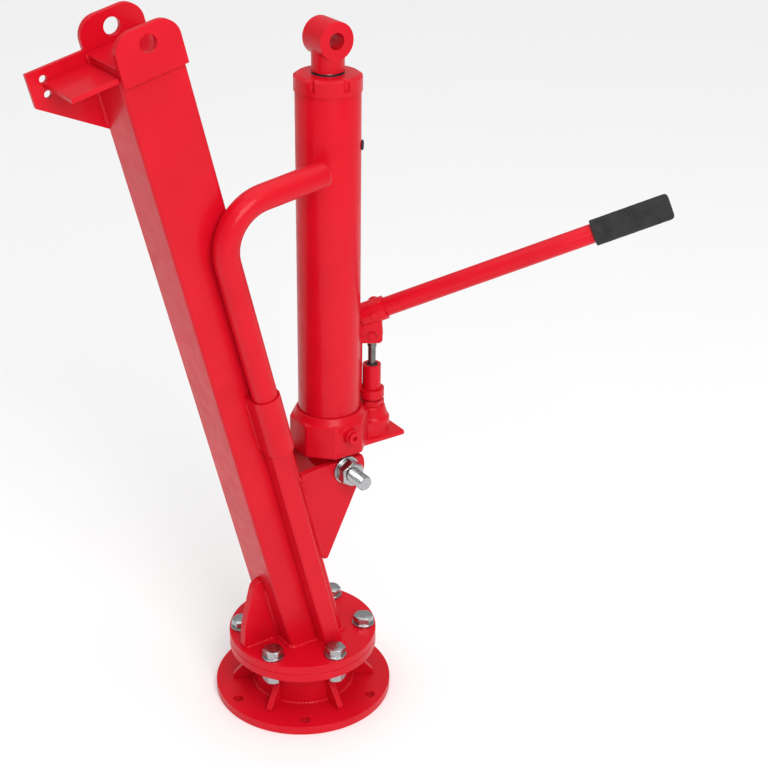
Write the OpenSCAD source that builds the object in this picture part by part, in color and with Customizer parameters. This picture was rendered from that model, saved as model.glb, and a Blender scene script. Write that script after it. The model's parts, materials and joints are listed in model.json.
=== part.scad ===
// Swivel column with a long-ram hydraulic jack and its hand pump.
// Z is up. The origin is the centre of the fixed base plate's underside, on the turning axis.

/* [Base] */
// Diameter of the fixed base plate
base_d = 240; // [210:5:300]
// Thickness of the base plate
base_t = 12; // [8:1:16]
// Number of holes that bolt the base down
base_hole_n = 6; // [4:1:8]
// Diameter of the base holes
base_hole_d = 13; // [9:1:17]
// Pitch circle of the base holes
base_pcd = 206; // [190:2:216]
// Outside diameter of the pedestal
pedestal_d = 134; // [128:2:136]
// Height of the pedestal above the base plate
pedestal_h = 46; // [40:1:80]

/* [Turntable] */
// Diameter of the turntable and of the column's flange
flange_d = 200; // [196:2:220]
// Thickness of the turntable
turntable_t = 12; // [10:1:16]
// Thickness of the column's flange
flange_t = 12; // [8:1:16]
// Number of bolts that hold the flange to the turntable
flange_bolt_n = 6; // [4:1:6]
// Pitch circle of the flange bolts
flange_pcd = 166; // [160:1:168]
// Diameter of the kingpin
kingpin_d = 30; // [24:1:34]
// Height of the balls' gap between pedestal and turntable
bearing_gap = 12; // [11:1:14]
// Number of balls in the thrust bearing
ball_n = 20; // [12:1:26]

/* [Column] */
// Outside width of the square column tube
mast_w = 80; // [70:1:90]
// Wall of the column tube
mast_wall = 5; // [3:0.5:6]
// Length of the column tube along its axis
mast_len = 850; // [700:10:900]
// Lean of the column away from the jack, in degrees
lean = 14; // [10:0.5:16]
// Diameter of the boom's pivot hole in the column head
boom_hole_d = 20.4; // [16:0.1:25]

/* [Jack] */
// Distance of the jack's axis from the turning axis
jack_x = 44; // [42:1:50]
// Height of the jack's pivot above the flange
pivot_up = 249; // [245:1:255]
// Outside diameter of the reservoir tube
tube_d = 80; // [76:1:84]
// Height of the reservoir tube's top above the flange
tube_top_up = 745; // [700:5:760]
// Diameter of the ram
ram_d = 32; // [28:1:34]
// Bore of the pressure cylinder
bore_d = 40; // [38:1:44]
// Diameter of the pivot bolt
bolt_d = 20; // [18:0.5:20]
// Height of the ram head's eye above the flange
eye_up = 806; // [800:1:830]

/* [Pump] */
// Distance from the jack's axis to the pump's axis
pump_off = 66; // [64:1:70]
// Direction of the pump handle from +X, in degrees
pump_turn = -35.4; // [-60:0.1:-10]
// Rise of the pump handle above level, in degrees
handle_rise = 22.3; // [15:0.1:30]
// Outside diameter of the pump handle's tube
handle_d = 25; // [22:0.5:26]
// Reach of the pump handle from the pump's axis
handle_len = 392; // [300:1:450]
// Length of the soft grip
grip_len = 102; // [80:1:130]
// Outside diameter of the soft grip
grip_d = 34; // [30:0.5:38]
// Diameter of the plunger
plunger_d = 10; // [8:0.5:12]

/* [Swing handle] */
// Outside diameter of the swing handle's tube
swing_d = 32; // [28:0.5:33]
// Centre-line radius of the swing handle's bend
swing_bend_r = 60; // [50:1:80]
// Angle of the bend, in degrees
swing_bend = 94.7; // [90:0.1:105]
// Length of the straight leg above the post
swing_leg = 266; // [200:1:300]
// Length of the straight arm
swing_arm = 82; // [50:1:95]
// Distance of the swing handle from the column's middle plane, along the column's face
swing_across = 14.5; // [10:0.5:18]

/* [Hidden] */
$fn = 96;
eps = 0.01;
red = [0.86, 0.08, 0.13];
zinc = [0.78, 0.79, 0.80];
steel = [0.55, 0.56, 0.58];
dark = [0.16, 0.16, 0.17];

pedestal_top = base_t + pedestal_h;
turntable_z = pedestal_top + bearing_gap;
flange_z = turntable_z + turntable_t;
flange_top = flange_z + flange_t;
race_t = 3.5;
race_half_w = 9;
groove_depth = 0.6;
groove_play = 0.4;
ball_d = bearing_gap - 2 * race_t + 2 * groove_depth;
ball_pcd = 96;
ball_gap = 0.45;
bush_wall = 5;
bush_h = 14;
pin_head_t = 8;
pin_head_d = 50;
pin_low_z = base_t + 3;
cotter_up = 5;
cotter_r = 2.2;
pin_nut_up = 9;
pin_nut_af = 46;
pin_washer_t = 1.2;
pin_washer_r = 30;
run = 0.05;
loose = 0.3;
joined = 0.02;
past = 1;
pin_washer_z = pedestal_top - bush_h - pin_washer_t - loose;
m16_d = 16;
m16_af = 24;
m16_head_t = 10;
m16_nut_t = 13;
m16_hole_d = m16_d + 1;
m16_start = 30;
washer_t = 3;
washer_d = 30;

mast_half = mast_w / 2;
mast_hole = mast_w - 2 * mast_wall;
trim = 150;
sink = 30;
rib_t = 12;
ear_t = 8;
ear_in = mast_half - ear_t;
ear_low = 123;
pivot_z = flange_top + pivot_up;
ear_rise = 13;
ear_round = 29;
pivot_hole_d = bolt_d + 0.4;
bolt_af = 30;
bolt_head_t = 13;
bolt_nut_t = 16;
bolt_tip = 87;
bolt_cut = 1.5;
bolt_washer_r = 18.5;
spacer_r = 15;
side_play = 0.6;
swing_wall = 2;
sleeve_low = 325;
sleeve_len = 80;
sleeve_r = swing_d / 2 + 0.5;
sleeve_wall = 2;
sleeve_back = 1;
sleeve_flare = 1.5;
swing_y = -mast_half - sleeve_back - sleeve_r;
post_w = 25;
post_wall = 2;
post_across = swing_across - 3.5;
cap_t = 4;
head_ear_low = 832;
head_ear_up = 866;
head_ear_r = 24;
head_ear_flat = 16;
head_ear_hole = 4;
winch_low = 763;
winch_high = 96;
winch_rise = 56;
winch_reach = 74;
winch_t = 6;
winch_hole_d = 9;

cast_af = 96;
cast_z = flange_top + 271;
cast_top = flange_top + 316;
cone_top = flange_top + 326;
plate_z = flange_top + 267;
lug_w = 44;
lug_r = 21;
boss_drop = 22;
tube_wall = 3;
tube_seat = flange_top + 292;
cyl_seat = flange_top + 286;
cyl_wall = 4;
cyl_short = 14;
tube_top = flange_top + tube_top_up;
nut_h = 20;
nut_top = tube_top + nut_h;
wiper_r = ram_d / 2 + 4;
wiper_deep = 6;
ram_out = 12;
eye_z = flange_top + eye_up;
filler_z = flange_top + 677;
filler_r = 4.4;
valve_z = flange_top + 303;
valve_r = 5;
valve_boss = 14;
passage_r = 2.5;
passage_z = cyl_seat - 3;
ball_seat_r = 4;
check_ball_r = 3.6;
out_ball_z = cyl_seat - 1.5;
in_ball_z = cyl_seat + 6;
piston_t = 24;
piston_z = cyl_seat + 4;
seal_up = 9;
seal_h = 6;
seal_t = 3;

pump_x = jack_x + pump_off;
barrel_r = 12;
barrel_foot_r = 10;
barrel_z = flange_top + 300;
barrel_hex_z = flange_top + 311;
barrel_top = flange_top + 368;
step_top = flange_top + 318;
gland_r = 8;
gland_deep = 6;
ring_z = flange_top + 322;
ring_h = 12;
ring_up = 5;
fulcrum_u = -16.5;
fulcrum_z = flange_top + 408;
stroke_mid = 13.5;
pin_r = 4;
plunger_pin_z = fulcrum_z + 17.5 * stroke_mid * PI / 180;
plunger_low = flange_top + 322;
collar_z = flange_top + 394;
collar_t = 6;
slot_mid = 17.6;
slot_half = 1.3;
slot_r = pin_r + 0.5;
cheek_in = 6.5;
cheek_t = 4;
cheek_out = cheek_in + cheek_t;
cheek_r = 6.8;
clip_r = 5.6;
clip_t = 1.2;
clip_gap = 0.8;
pin_over = 3;
axis_z = flange_top + 442;
socket_bore = handle_d / 2 + joined;
socket_wall = 3;
socket_back = 12;
socket_len = 33;
screw_up = 4;
screw_r = 3;
screw_boss_r = 5;
handle_wall = 2;
head_half = 6;

// Children stand on the flange's centre, with Z along the leaning column.
module on_mast() {
    translate([0, 0, flange_top])
        rotate([0, -lean, 0])
            children();
}

// Everything just below the top of the column's flange.
module under_flange() {
    translate([-trim, -trim, flange_top - trim])
        cube([2 * trim, 2 * trim, trim]);
}

// Children have their origin on the pump's axis, with X below the pump handle.
module at_pump(z) {
    translate([pump_x, 0, z])
        rotate([0, 0, pump_turn])
            children();
}

// Children lie along the pump handle, with Z pointing out to the grip.
module on_handle() {
    at_pump(axis_z)
        rotate([0, 90 - handle_rise, 0])
            children();
}

// A round tube with its foot at the origin.
module tube(r_out, r_in, h) {
    difference() {
        cylinder(r = r_out, h = h);
        translate([0, 0, -past])
            cylinder(r = r_in, h = h + 2 * past);
    }
}

// A cylinder along Y, centred on the origin.
module along_y(r, h) {
    rotate([90, 0, 0])
        cylinder(r = r, h = h, center = true);
}

// A hexagon bar with its foot at the origin.
module hex(af, h) {
    cylinder(d = af / cos(30), h = h, $fn = 6);
}

// Copies of the children at even angles round a circle.
module ring_of(n, pcd, start = 0) {
    for (i = [0:n - 1])
        rotate([0, 0, start + i * 360 / n])
            translate([pcd / 2, 0, 0])
                children();
}

module base_plate() {
    color(red)
        difference() {
            cylinder(d = base_d, h = base_t);
            translate([0, 0, -past])
                ring_of(base_hole_n, base_pcd)
                    cylinder(d = base_hole_d, h = base_t + 2 * past);
        }
}

module pedestal() {
    wall = 7;
    lid_t = 12;
    color(red)
        difference() {
            translate([0, 0, base_t])
                cylinder(d = pedestal_d, h = pedestal_h);
            translate([0, 0, base_t - past])
                cylinder(d = pedestal_d - 2 * wall, h = pedestal_h - lid_t + past);
            translate([0, 0, base_t])
                cylinder(d = kingpin_d + 2 * bush_wall, h = pedestal_h + past);
        }
}

module base_gussets() {
    foot = 30;
    rise = 34;
    edge = 5;
    plate_t = 8;
    color(red)
        difference() {
            ring_of(base_hole_n, pedestal_d, 180 / base_hole_n)
                translate([0, plate_t / 2, base_t])
                    rotate([90, 0, 0])
                        linear_extrude(plate_t)
                            polygon([[-edge, 0], [foot, 0], [foot, edge], [edge, rise],
                                [-edge, rise]]);
            cylinder(d = pedestal_d, h = pedestal_top);
        }
}

module kingpin_bush() {
    color("darkgoldenrod")
        translate([0, 0, pedestal_top - bush_h])
            tube(kingpin_d / 2 + bush_wall, kingpin_d / 2 + run, bush_h);
}

// A flat ring with a shallow groove for the balls; up is 1 when the groove faces up.
module race(up) {
    centre = ball_d / 2 - groove_depth / 2;
    groove_z = up > 0 ? race_t + centre : -centre;
    difference() {
        tube(ball_pcd / 2 + race_half_w, ball_pcd / 2 - race_half_w, race_t);
        rotate_extrude()
            translate([ball_pcd / 2, groove_z])
                circle(d = ball_d + groove_play);
    }
}

module bearing_lower_race() {
    color(steel)
        translate([0, 0, pedestal_top])
            race(1);
}

module bearing_upper_race() {
    color(steel)
        translate([0, 0, turntable_z - race_t])
            race(-1);
}

module bearing_balls() {
    color(zinc)
        translate([0, 0, pedestal_top + bearing_gap / 2])
            ring_of(ball_n, ball_pcd)
                sphere(d = ball_d - 2 * ball_gap, $fn = 32);
}

module dust_seal() {
    inset = 2;
    width = 6;
    color(dark)
        translate([0, 0, pedestal_top])
            tube(pedestal_d / 2 - inset, pedestal_d / 2 - inset - width, bearing_gap - 0.5);
}

module turntable() {
    pin_play = 0.4;
    color(red)
        difference() {
            translate([0, 0, turntable_z])
                cylinder(d = flange_d, h = turntable_t);
            translate([0, 0, turntable_z - past])
                cylinder(d = kingpin_d + pin_play, h = turntable_t + 2 * past);
            translate([0, 0, flange_z - pin_head_t])
                cylinder(d = pin_head_d + pin_play, h = pin_head_t + past);
            translate([0, 0, turntable_z - past])
                ring_of(flange_bolt_n, flange_pcd, m16_start)
                    cylinder(d = m16_hole_d, h = turntable_t + 2 * past);
        }
}

module kingpin() {
    color(steel)
        difference() {
            union() {
                translate([0, 0, flange_z - pin_head_t])
                    cylinder(d = pin_head_d, h = pin_head_t);
                translate([0, 0, pin_low_z])
                    cylinder(d = kingpin_d, h = flange_z - pin_head_t - pin_low_z + eps);
            }
            translate([0, 0, pin_low_z + cotter_up])
                along_y(cotter_r + loose, kingpin_d + 2 * past);
        }
}

module kingpin_washer() {
    color(zinc)
        translate([0, 0, pin_washer_z])
            tube(pin_washer_r, kingpin_d / 2 + loose, pin_washer_t);
}

module kingpin_nut() {
    nut_z = pin_low_z + pin_nut_up;
    tall = pin_washer_z - nut_z;
    color(zinc)
        translate([0, 0, nut_z])
            difference() {
                hex(pin_nut_af, tall);
                translate([0, 0, -past])
                    cylinder(d = kingpin_d + 2 * run, h = tall + 2 * past);
            }
}

module kingpin_cotter() {
    ends = 7;
    color(steel)
        translate([0, 0, pin_low_z + cotter_up])
            along_y(cotter_r, kingpin_d + 2 * ends);
}

module mast_flange() {
    drain_d = 40;
    color(red)
        difference() {
            translate([0, 0, flange_z])
                cylinder(d = flange_d, h = flange_t);
            translate([0, 0, flange_z - past])
                ring_of(flange_bolt_n, flange_pcd, m16_start)
                    cylinder(d = m16_hole_d, h = flange_t + 2 * past);
            translate([0, 0, flange_z - past])
                cylinder(d = drain_d, h = flange_t + 2 * past);
        }
}

module flange_bolts() {
    thread_over = 6;
    shank = flange_t + turntable_t + m16_nut_t + thread_over;
    color(zinc)
        translate([0, 0, flange_top + washer_t])
            ring_of(flange_bolt_n, flange_pcd, m16_start) {
                hex(m16_af, m16_head_t);
                translate([0, 0, -shank])
                    cylinder(d = m16_d, h = shank + eps);
            }
}

module flange_washers() {
    color(zinc)
        translate([0, 0, flange_top])
            ring_of(flange_bolt_n, flange_pcd, m16_start)
                tube(washer_d / 2, m16_d / 2 + loose, washer_t);
}

module flange_nuts() {
    color(zinc)
        translate([0, 0, turntable_z - m16_nut_t])
            ring_of(flange_bolt_n, flange_pcd, m16_start)
                difference() {
                    hex(m16_af, m16_nut_t);
                    translate([0, 0, -past])
                        cylinder(d = m16_d + 2 * run, h = m16_nut_t + 2 * past);
                }
}

module mast_tube() {
    color(red)
        difference() {
            on_mast()
                translate([0, 0, -sink])
                    difference() {
                        linear_extrude(mast_len + sink)
                            square(mast_w, center = true);
                        translate([0, 0, -past])
                            linear_extrude(mast_len + sink + 2 * past)
                                square(mast_hole, center = true);
                    }
            under_flange();
        }
}

module foot_rib() {
    nose = [-64, 82];
    nose_r = 16;
    color(red)
        difference() {
            translate([0, rib_t / 2, flange_top])
                rotate([90, 0, 0])
                    linear_extrude(rib_t)
                        polygon(concat([[-20, 0], [-95, 0], [-93, 30], [-88, 52]],
                            [for (a = [170:-15:65]) nose + nose_r * [cos(a), sin(a)]],
                            [[-40, 96.5]]));
            on_mast()
                translate([-mast_half, -mast_half, -2 * sink])
                    cube([2 * mast_w, mast_w, 2 * trim]);
        }
}

// One of the two plates that carry the jack's pivot bolt, from y to y plus its thickness.
module jack_ear(y) {
    difference() {
        translate([0, y + ear_t, flange_top])
            rotate([90, 0, 0])
                linear_extrude(ear_t)
                    intersection() {
                        union() {
                            polygon([[-mast_half, ear_low], [16, ear_low], [70.5, pivot_up - 12],
                                [66, pivot_up + 20], [-mast_half, pivot_up + 8]]);
                            translate([jack_x, pivot_up])
                                circle(r = ear_round);
                        }
                        translate([-trim, 0])
                            square([2 * trim, pivot_up + ear_rise]);
                    }
        on_mast()
            translate([mast_half - 2 * trim, -trim, 0])
                cube([2 * trim, 2 * trim, mast_len]);
        translate([jack_x, y + ear_t / 2, pivot_z])
            along_y(pivot_hole_d / 2, ear_t + 2 * past);
    }
}

module jack_ear_front() {
    color(red)
        jack_ear(-mast_half);
}

module jack_ear_rear() {
    color(red)
        jack_ear(ear_in);
}

module pivot_bolt() {
    color(zinc)
        translate([jack_x, 0, pivot_z])
            rotate([90, 0, 0]) {
                translate([0, 0, -mast_half - washer_t - bolt_head_t])
                    hex(bolt_af, bolt_head_t);
                translate([0, 0, -mast_half - washer_t - eps])
                    cylinder(d = bolt_d, h = mast_half + washer_t + bolt_tip - bolt_cut);
                translate([0, 0, bolt_tip - bolt_cut - 2 * eps])
                    cylinder(r1 = bolt_d / 2, r2 = bolt_d / 2 - bolt_cut, h = bolt_cut);
            }
}

module pivot_nut() {
    color(zinc)
        translate([jack_x, -mast_half - washer_t - bolt_nut_t, pivot_z])
            rotate([-90, 0, 0])
                difference() {
                    hex(bolt_af, bolt_nut_t);
                    translate([0, 0, -past])
                        cylinder(d = bolt_d + 2 * run, h = bolt_nut_t + 2 * past);
                }
}

module pivot_washers() {
    color(zinc)
        for (y = [-mast_half - washer_t / 2, mast_half + washer_t / 2])
            translate([jack_x, y, pivot_z])
                rotate([90, 0, 0])
                    translate([0, 0, -washer_t / 2])
                        tube(bolt_washer_r, bolt_d / 2 + loose, washer_t);
}

module pivot_spacers() {
    gap = ear_in - lug_w / 2 - side_play;
    color(zinc)
        for (s = [-1, 1])
            translate([jack_x, s * (ear_in - gap / 2), pivot_z])
                rotate([90, 0, 0])
                    translate([0, 0, -gap / 2])
                        tube(spacer_r, bolt_d / 2 + loose, gap);
}

module rail_post() {
    inner = post_w - 2 * post_wall;
    color(red)
        difference() {
            on_mast()
                translate([post_across - post_w / 2, -mast_half - post_w, -sink])
                    difference() {
                        cube([post_w, post_w, sleeve_low + sink]);
                        translate([post_wall, post_wall, -past])
                            cube([inner, inner, sleeve_low + sink - post_wall + past]);
                    }
            under_flange();
        }
}

// A saddle welded to the column's face, with a round bore for the swing handle.
module handle_sleeve() {
    out = sleeve_r + sleeve_wall;
    color(red)
        on_mast()
            translate([swing_across, swing_y, sleeve_low])
                difference() {
                    linear_extrude(sleeve_len)
                        polygon(concat([[-out - sleeve_flare, sleeve_r + sleeve_back]],
                            [for (a = [180:7.5:360]) out * [cos(a), sin(a)]],
                            [[out, sleeve_r + sleeve_back]]));
                    translate([0, 0, -past])
                        cylinder(r = sleeve_r, h = sleeve_len + 2 * past);
                }
}

module swing_handle() {
    r = swing_d / 2;
    bend_swell = 0.1;
    lap = 1;
    rest_gap = 0.3;
    color(red)
        on_mast()
            translate([swing_across, swing_y, sleeve_low]) {
                translate([0, 0, rest_gap])
                    tube(r, r - swing_wall, swing_leg + lap - rest_gap);
                translate([swing_bend_r, 0, swing_leg])
                    rotate([90, 0, 0])
                        rotate([0, 0, 180 - swing_bend])
                            rotate_extrude(angle = swing_bend)
                                translate([swing_bend_r, 0])
                                    difference() {
                                        circle(r = r + bend_swell);
                                        circle(r = r - swing_wall - bend_swell);
                                    }
                translate([swing_bend_r, 0, swing_leg])
                    rotate([0, swing_bend, 0])
                        translate([-swing_bend_r, 0, -lap])
                            tube(r, r - swing_wall, swing_arm + lap);
            }
}

module swing_handle_cap() {
    r = swing_d / 2 - swing_wall;
    plug = 4;
    dome = 2.5;
    lip = 1.8;
    vent_r = 2;
    color(red)
        on_mast()
            translate([swing_across + swing_bend_r, swing_y, sleeve_low + swing_leg])
                rotate([0, swing_bend, 0])
                    translate([-swing_bend_r, 0, swing_arm - plug])
                        difference() {
                            union() {
                                cylinder(r = r - joined, h = plug + eps);
                                translate([0, 0, plug])
                                    cylinder(r1 = r + lip, r2 = r - past, h = dome);
                            }
                            translate([0, 0, -past])
                                cylinder(r = vent_r, h = plug + dome + 2 * past);
                        }
}

module mast_cap() {
    color(red)
        on_mast()
            translate([0, 0, mast_len + cap_t / 2])
                cube([mast_w, mast_w, cap_t], center = true);
}

// One of the two plates that carry the boom, with its inside face at y = side * mast_half.
module boom_ear(side) {
    y = side > 0 ? mast_half : -mast_half - ear_t;
    on_mast()
        translate([0, y + ear_t, 0])
            rotate([90, 0, 0])
                linear_extrude(ear_t)
                    difference() {
                        union() {
                            translate([-mast_half, head_ear_low])
                                square([mast_w, head_ear_up - head_ear_low]);
                            translate([-head_ear_flat, head_ear_up])
                                square([2 * head_ear_flat, head_ear_r]);
                            for (x = [-head_ear_flat, head_ear_flat])
                                translate([x, head_ear_up])
                                    circle(r = head_ear_r);
                        }
                        translate([0, head_ear_up + head_ear_hole])
                            circle(d = boom_hole_d);
                    }
}

module boom_ear_front() {
    color(red)
        boom_ear(-1);
}

module boom_ear_rear() {
    color(red)
        boom_ear(1);
}

module winch_plate() {
    color(red)
        on_mast()
            translate([-mast_half, mast_half, winch_low])
                rotate([90, 0, 0])
                    linear_extrude(winch_t)
                        difference() {
                            polygon([[0, 0], [-winch_reach, winch_rise],
                                [-winch_reach, winch_high], [0, winch_high]]);
                            for (hole = [[-56, 66], [-56, 84], [-22, 75]])
                                translate(hole)
                                    circle(d = winch_hole_d);
                        }
}

module winch_stiffener() {
    out = 58;
    up = 75;
    color(red)
        on_mast()
            translate([-mast_half - out, -mast_half, winch_low + up])
                cube([out, mast_w - winch_t, winch_t]);
}

module jack_casting() {
    sides = 8;
    turn = 180 / sides;
    cone_low_r = 47.5;
    cone_lip = 2;
    foot_in = 16;
    foot_len = 84;
    foot_w = 60;
    foot_t = 7;
    web_in = 30;
    lug_lap = 5;
    boss_top = cast_top - boss_drop;
    boss_r = 24;
    boss_cone = [22, 17];
    boss_cone_h = 17;
    valve_boss_r = 10;
    valve_boss_out = 3;
    port_deep = 6;
    port_h = 10;
    bore_h = 100;
    color(red)
        difference() {
            union() {
                translate([jack_x, 0, cast_z])
                    rotate([0, 0, turn])
                        cylinder(d = cast_af / cos(turn), h = cast_top - cast_z, $fn = sides);
                translate([jack_x, 0, cast_top - eps])
                    cylinder(r1 = cone_low_r, r2 = tube_d / 2 + cone_lip, h = cone_top - cast_top);
                translate([jack_x, 0, pivot_z])
                    along_y(lug_r, lug_w);
                translate([jack_x - lug_r, -lug_w / 2, pivot_z])
                    cube([2 * lug_r, lug_w, cast_z - pivot_z + lug_lap]);
                translate([jack_x + foot_in, -foot_w / 2, plate_z])
                    cube([foot_len, foot_w, foot_t]);
                translate([jack_x + web_in, -lug_w / 2, plate_z])
                    cube([pump_off - web_in, lug_w, boss_top - plate_z]);
                translate([pump_x, 0, plate_z])
                    cylinder(r = boss_r, h = boss_top - plate_z);
                translate([pump_x, 0, boss_top - eps])
                    cylinder(r1 = boss_cone[0], r2 = boss_cone[1], h = boss_cone_h);
                translate([jack_x, -cast_af / 2 - valve_boss_out, valve_z])
                    along_y(valve_boss_r, valve_boss);
            }
            translate([jack_x, 0, pivot_z])
                along_y(bolt_d / 2 + run, lug_w + 2 * past);
            translate([jack_x, 0, tube_seat])
                cylinder(r = tube_d / 2 + joined, h = cone_top);
            translate([jack_x, 0, cyl_seat])
                cylinder(r = bore_d / 2 + cyl_wall + joined, h = bore_h);
            translate([jack_x, 0, cyl_seat - port_deep])
                cylinder(r = ball_seat_r, h = port_h);
            translate([pump_x, 0, barrel_z])
                cylinder(r = barrel_foot_r + joined, h = bore_h);
            translate([pump_x, 0, cyl_seat - port_deep])
                cylinder(r = ball_seat_r, h = 3 * port_h);
            translate([jack_x, 0, passage_z])
                rotate([0, 90, 0])
                    cylinder(r = passage_r, h = pump_off + 3 * port_h);
            translate([jack_x, -cast_af / 2 - port_deep, valve_z])
                along_y(valve_r + joined, 4 * port_deep);
        }
}

module reservoir_tube() {
    color(red)
        difference() {
            translate([jack_x, 0, tube_seat])
                tube(tube_d / 2, tube_d / 2 - tube_wall, tube_top - tube_seat);
            translate([jack_x, 0, filler_z])
                rotate([0, 90, pump_turn])
                    cylinder(r = filler_r + 2 * run, h = tube_d);
        }
}

module pressure_cylinder() {
    color(steel)
        translate([jack_x, 0, cyl_seat])
            tube(bore_d / 2 + cyl_wall, bore_d / 2, tube_top - cyl_short - cyl_seat);
}

module head_nut() {
    out_r = tube_d / 2 + 1.5;
    edge = 3;
    slope = 4.5;
    thread_h = 15;
    key_r = 4;
    key_n = 6;
    key_up = 6;
    color(red)
        translate([jack_x, 0, 0])
            difference() {
                union() {
                    translate([0, 0, tube_top])
                        cylinder(r = out_r, h = nut_h - edge);
                    translate([0, 0, nut_top - edge - eps])
                        cylinder(r1 = out_r, r2 = out_r - slope, h = edge);
                    translate([0, 0, tube_top - cyl_short])
                        cylinder(r = tube_d / 2 - tube_wall - joined, h = thread_h);
                }
                translate([0, 0, tube_top - thread_h])
                    cylinder(r = ram_d / 2 + run, h = thread_h + 2 * nut_h);
                translate([0, 0, nut_top - wiper_deep])
                    cylinder(r = wiper_r, h = nut_h);
                translate([0, 0, tube_top + key_up])
                    ring_of(key_n, 2 * out_r, 180 / key_n)
                        cylinder(r = key_r, h = nut_h);
            }
}

module ram_wiper() {
    color(dark)
        translate([jack_x, 0, nut_top - wiper_deep])
            tube(wiper_r - joined, ram_d / 2 + loose, wiper_deep + past);
}

module filler_plug() {
    cap_r = [6.5, 5];
    cap_h = 2.6;
    color(dark)
        translate([jack_x, 0, filler_z])
            rotate([0, 90, pump_turn]) {
                translate([0, 0, tube_d / 2 - tube_wall - past])
                    cylinder(r = filler_r, h = tube_wall + 2 * past);
                translate([0, 0, tube_d / 2 + loose])
                    cylinder(r1 = cap_r[0], r2 = cap_r[1], h = cap_h);
            }
}

module pump_barrel() {
    foot_h = 30;
    hex_af = 29;
    color(red)
        at_pump(0)
            difference() {
                union() {
                    translate([0, 0, barrel_z])
                        cylinder(r = barrel_foot_r, h = foot_h);
                    translate([0, 0, barrel_hex_z])
                        hex(hex_af, step_top - barrel_hex_z);
                    translate([0, 0, barrel_hex_z])
                        cylinder(r = barrel_r, h = barrel_top - barrel_hex_z);
                }
                translate([0, 0, barrel_z - past])
                    cylinder(r = plunger_d / 2 + run, h = barrel_top - barrel_z + 2 * past);
                translate([0, 0, barrel_top - gland_deep])
                    cylinder(r = gland_r + joined, h = gland_deep + past);
            }
}

module pump_gland() {
    lip = 1.5;
    color(dark)
        at_pump(barrel_top - gland_deep)
            tube(gland_r, plunger_d / 2 + loose, gland_deep + lip);
}

module check_balls() {
    color(zinc) {
        translate([jack_x, 0, out_ball_z])
            sphere(r = check_ball_r, $fn = 32);
        translate([pump_x, 0, in_ball_z])
            sphere(r = check_ball_r, $fn = 32);
    }
}

module passage_plug() {
    out = 14;
    len = 9.8;
    color(zinc)
        translate([pump_x + out, 0, passage_z])
            rotate([0, 90, 0])
                cylinder(r = passage_r - run, h = len);
}

module release_valve() {
    key_af = 6;
    key_deep = 4;
    head_r = 8;
    head_t = 3.5;
    color(red)
        translate([jack_x, -cast_af / 2 - valve_boss, valve_z])
            rotate([-90, 0, 0])
                difference() {
                    union() {
                        cylinder(r = valve_r - run, h = valve_boss + head_t);
                        cylinder(r = head_r, h = head_t);
                    }
                    translate([0, 0, -past])
                        hex(key_af, key_deep + past);
                }
}

module ram() {
    color(zinc)
        translate([jack_x, 0, piston_z + piston_t])
            cylinder(d = ram_d, h = nut_top + ram_out - piston_z - piston_t);
}

module ram_piston() {
    color(steel)
        translate([jack_x, 0, piston_z])
            difference() {
                cylinder(r = bore_d / 2 - run, h = piston_t);
                translate([0, 0, seal_up])
                    tube(bore_d / 2 + past, bore_d / 2 - seal_t, seal_h);
            }
}

module piston_seal() {
    color(dark)
        translate([jack_x, 0, piston_z + seal_up + 2 * run])
            tube(bore_d / 2 - loose, bore_d / 2 - seal_t + joined, seal_h - 4 * run);
}

module ram_head() {
    head_w = 40;
    r = 23;
    neck_low = 3;
    neck_lap = 12;
    neck_z = nut_top + neck_low;
    color(red)
        difference() {
            union() {
                translate([jack_x, 0, eye_z])
                    along_y(r, head_w);
                translate([jack_x, 0, neck_z])
                    cylinder(d = head_w, h = eye_z - neck_z - neck_lap);
            }
            translate([jack_x, 0, eye_z])
                along_y(boom_hole_d / 2, head_w + 2 * past);
            translate([jack_x, 0, neck_z - past])
                cylinder(r = ram_d / 2 + joined, h = ram_out - neck_low + past);
        }
}

// The swivel ring round the pump barrel, with the bar that carries the fulcrum pin.
module fulcrum_link() {
    bar_t = 2 * head_half;
    bar_u = fulcrum_u - 6;
    bar_w = 10;
    ring_r = 16.5;
    eye_r = 7;
    ring_play = 0.08;
    color(red)
        at_pump(0)
            difference() {
                union() {
                    translate([0, 0, ring_z])
                        cylinder(r = ring_r, h = ring_h);
                    translate([bar_u, -head_half, ring_z + ring_up])
                        cube([bar_w, bar_t, fulcrum_z - ring_z - ring_up]);
                    translate([fulcrum_u, 0, fulcrum_z])
                        along_y(eye_r, bar_t);
                }
                translate([0, 0, ring_z - past])
                    cylinder(r = barrel_r + ring_play, h = axis_z - ring_z);
                translate([fulcrum_u, 0, fulcrum_z])
                    along_y(pin_r + joined, bar_t + 2 * past);
            }
}

module fulcrum_pin() {
    color(zinc)
        at_pump(fulcrum_z)
            translate([fulcrum_u, 0, 0])
                along_y(pin_r, 2 * (cheek_out + pin_over));
}

// Two spring clips on a pin's ends, centred on the pin.
module pin_clips() {
    for (s = [-1, 1])
        translate([0, s * (cheek_out + clip_gap + clip_t / 2), 0])
            rotate([90, 0, 0])
                translate([0, 0, -clip_t / 2])
                    tube(clip_r, pin_r + joined, clip_t);
}

module fulcrum_clips() {
    color(steel)
        at_pump(fulcrum_z)
            translate([fulcrum_u, 0, 0])
                pin_clips();
}

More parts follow.
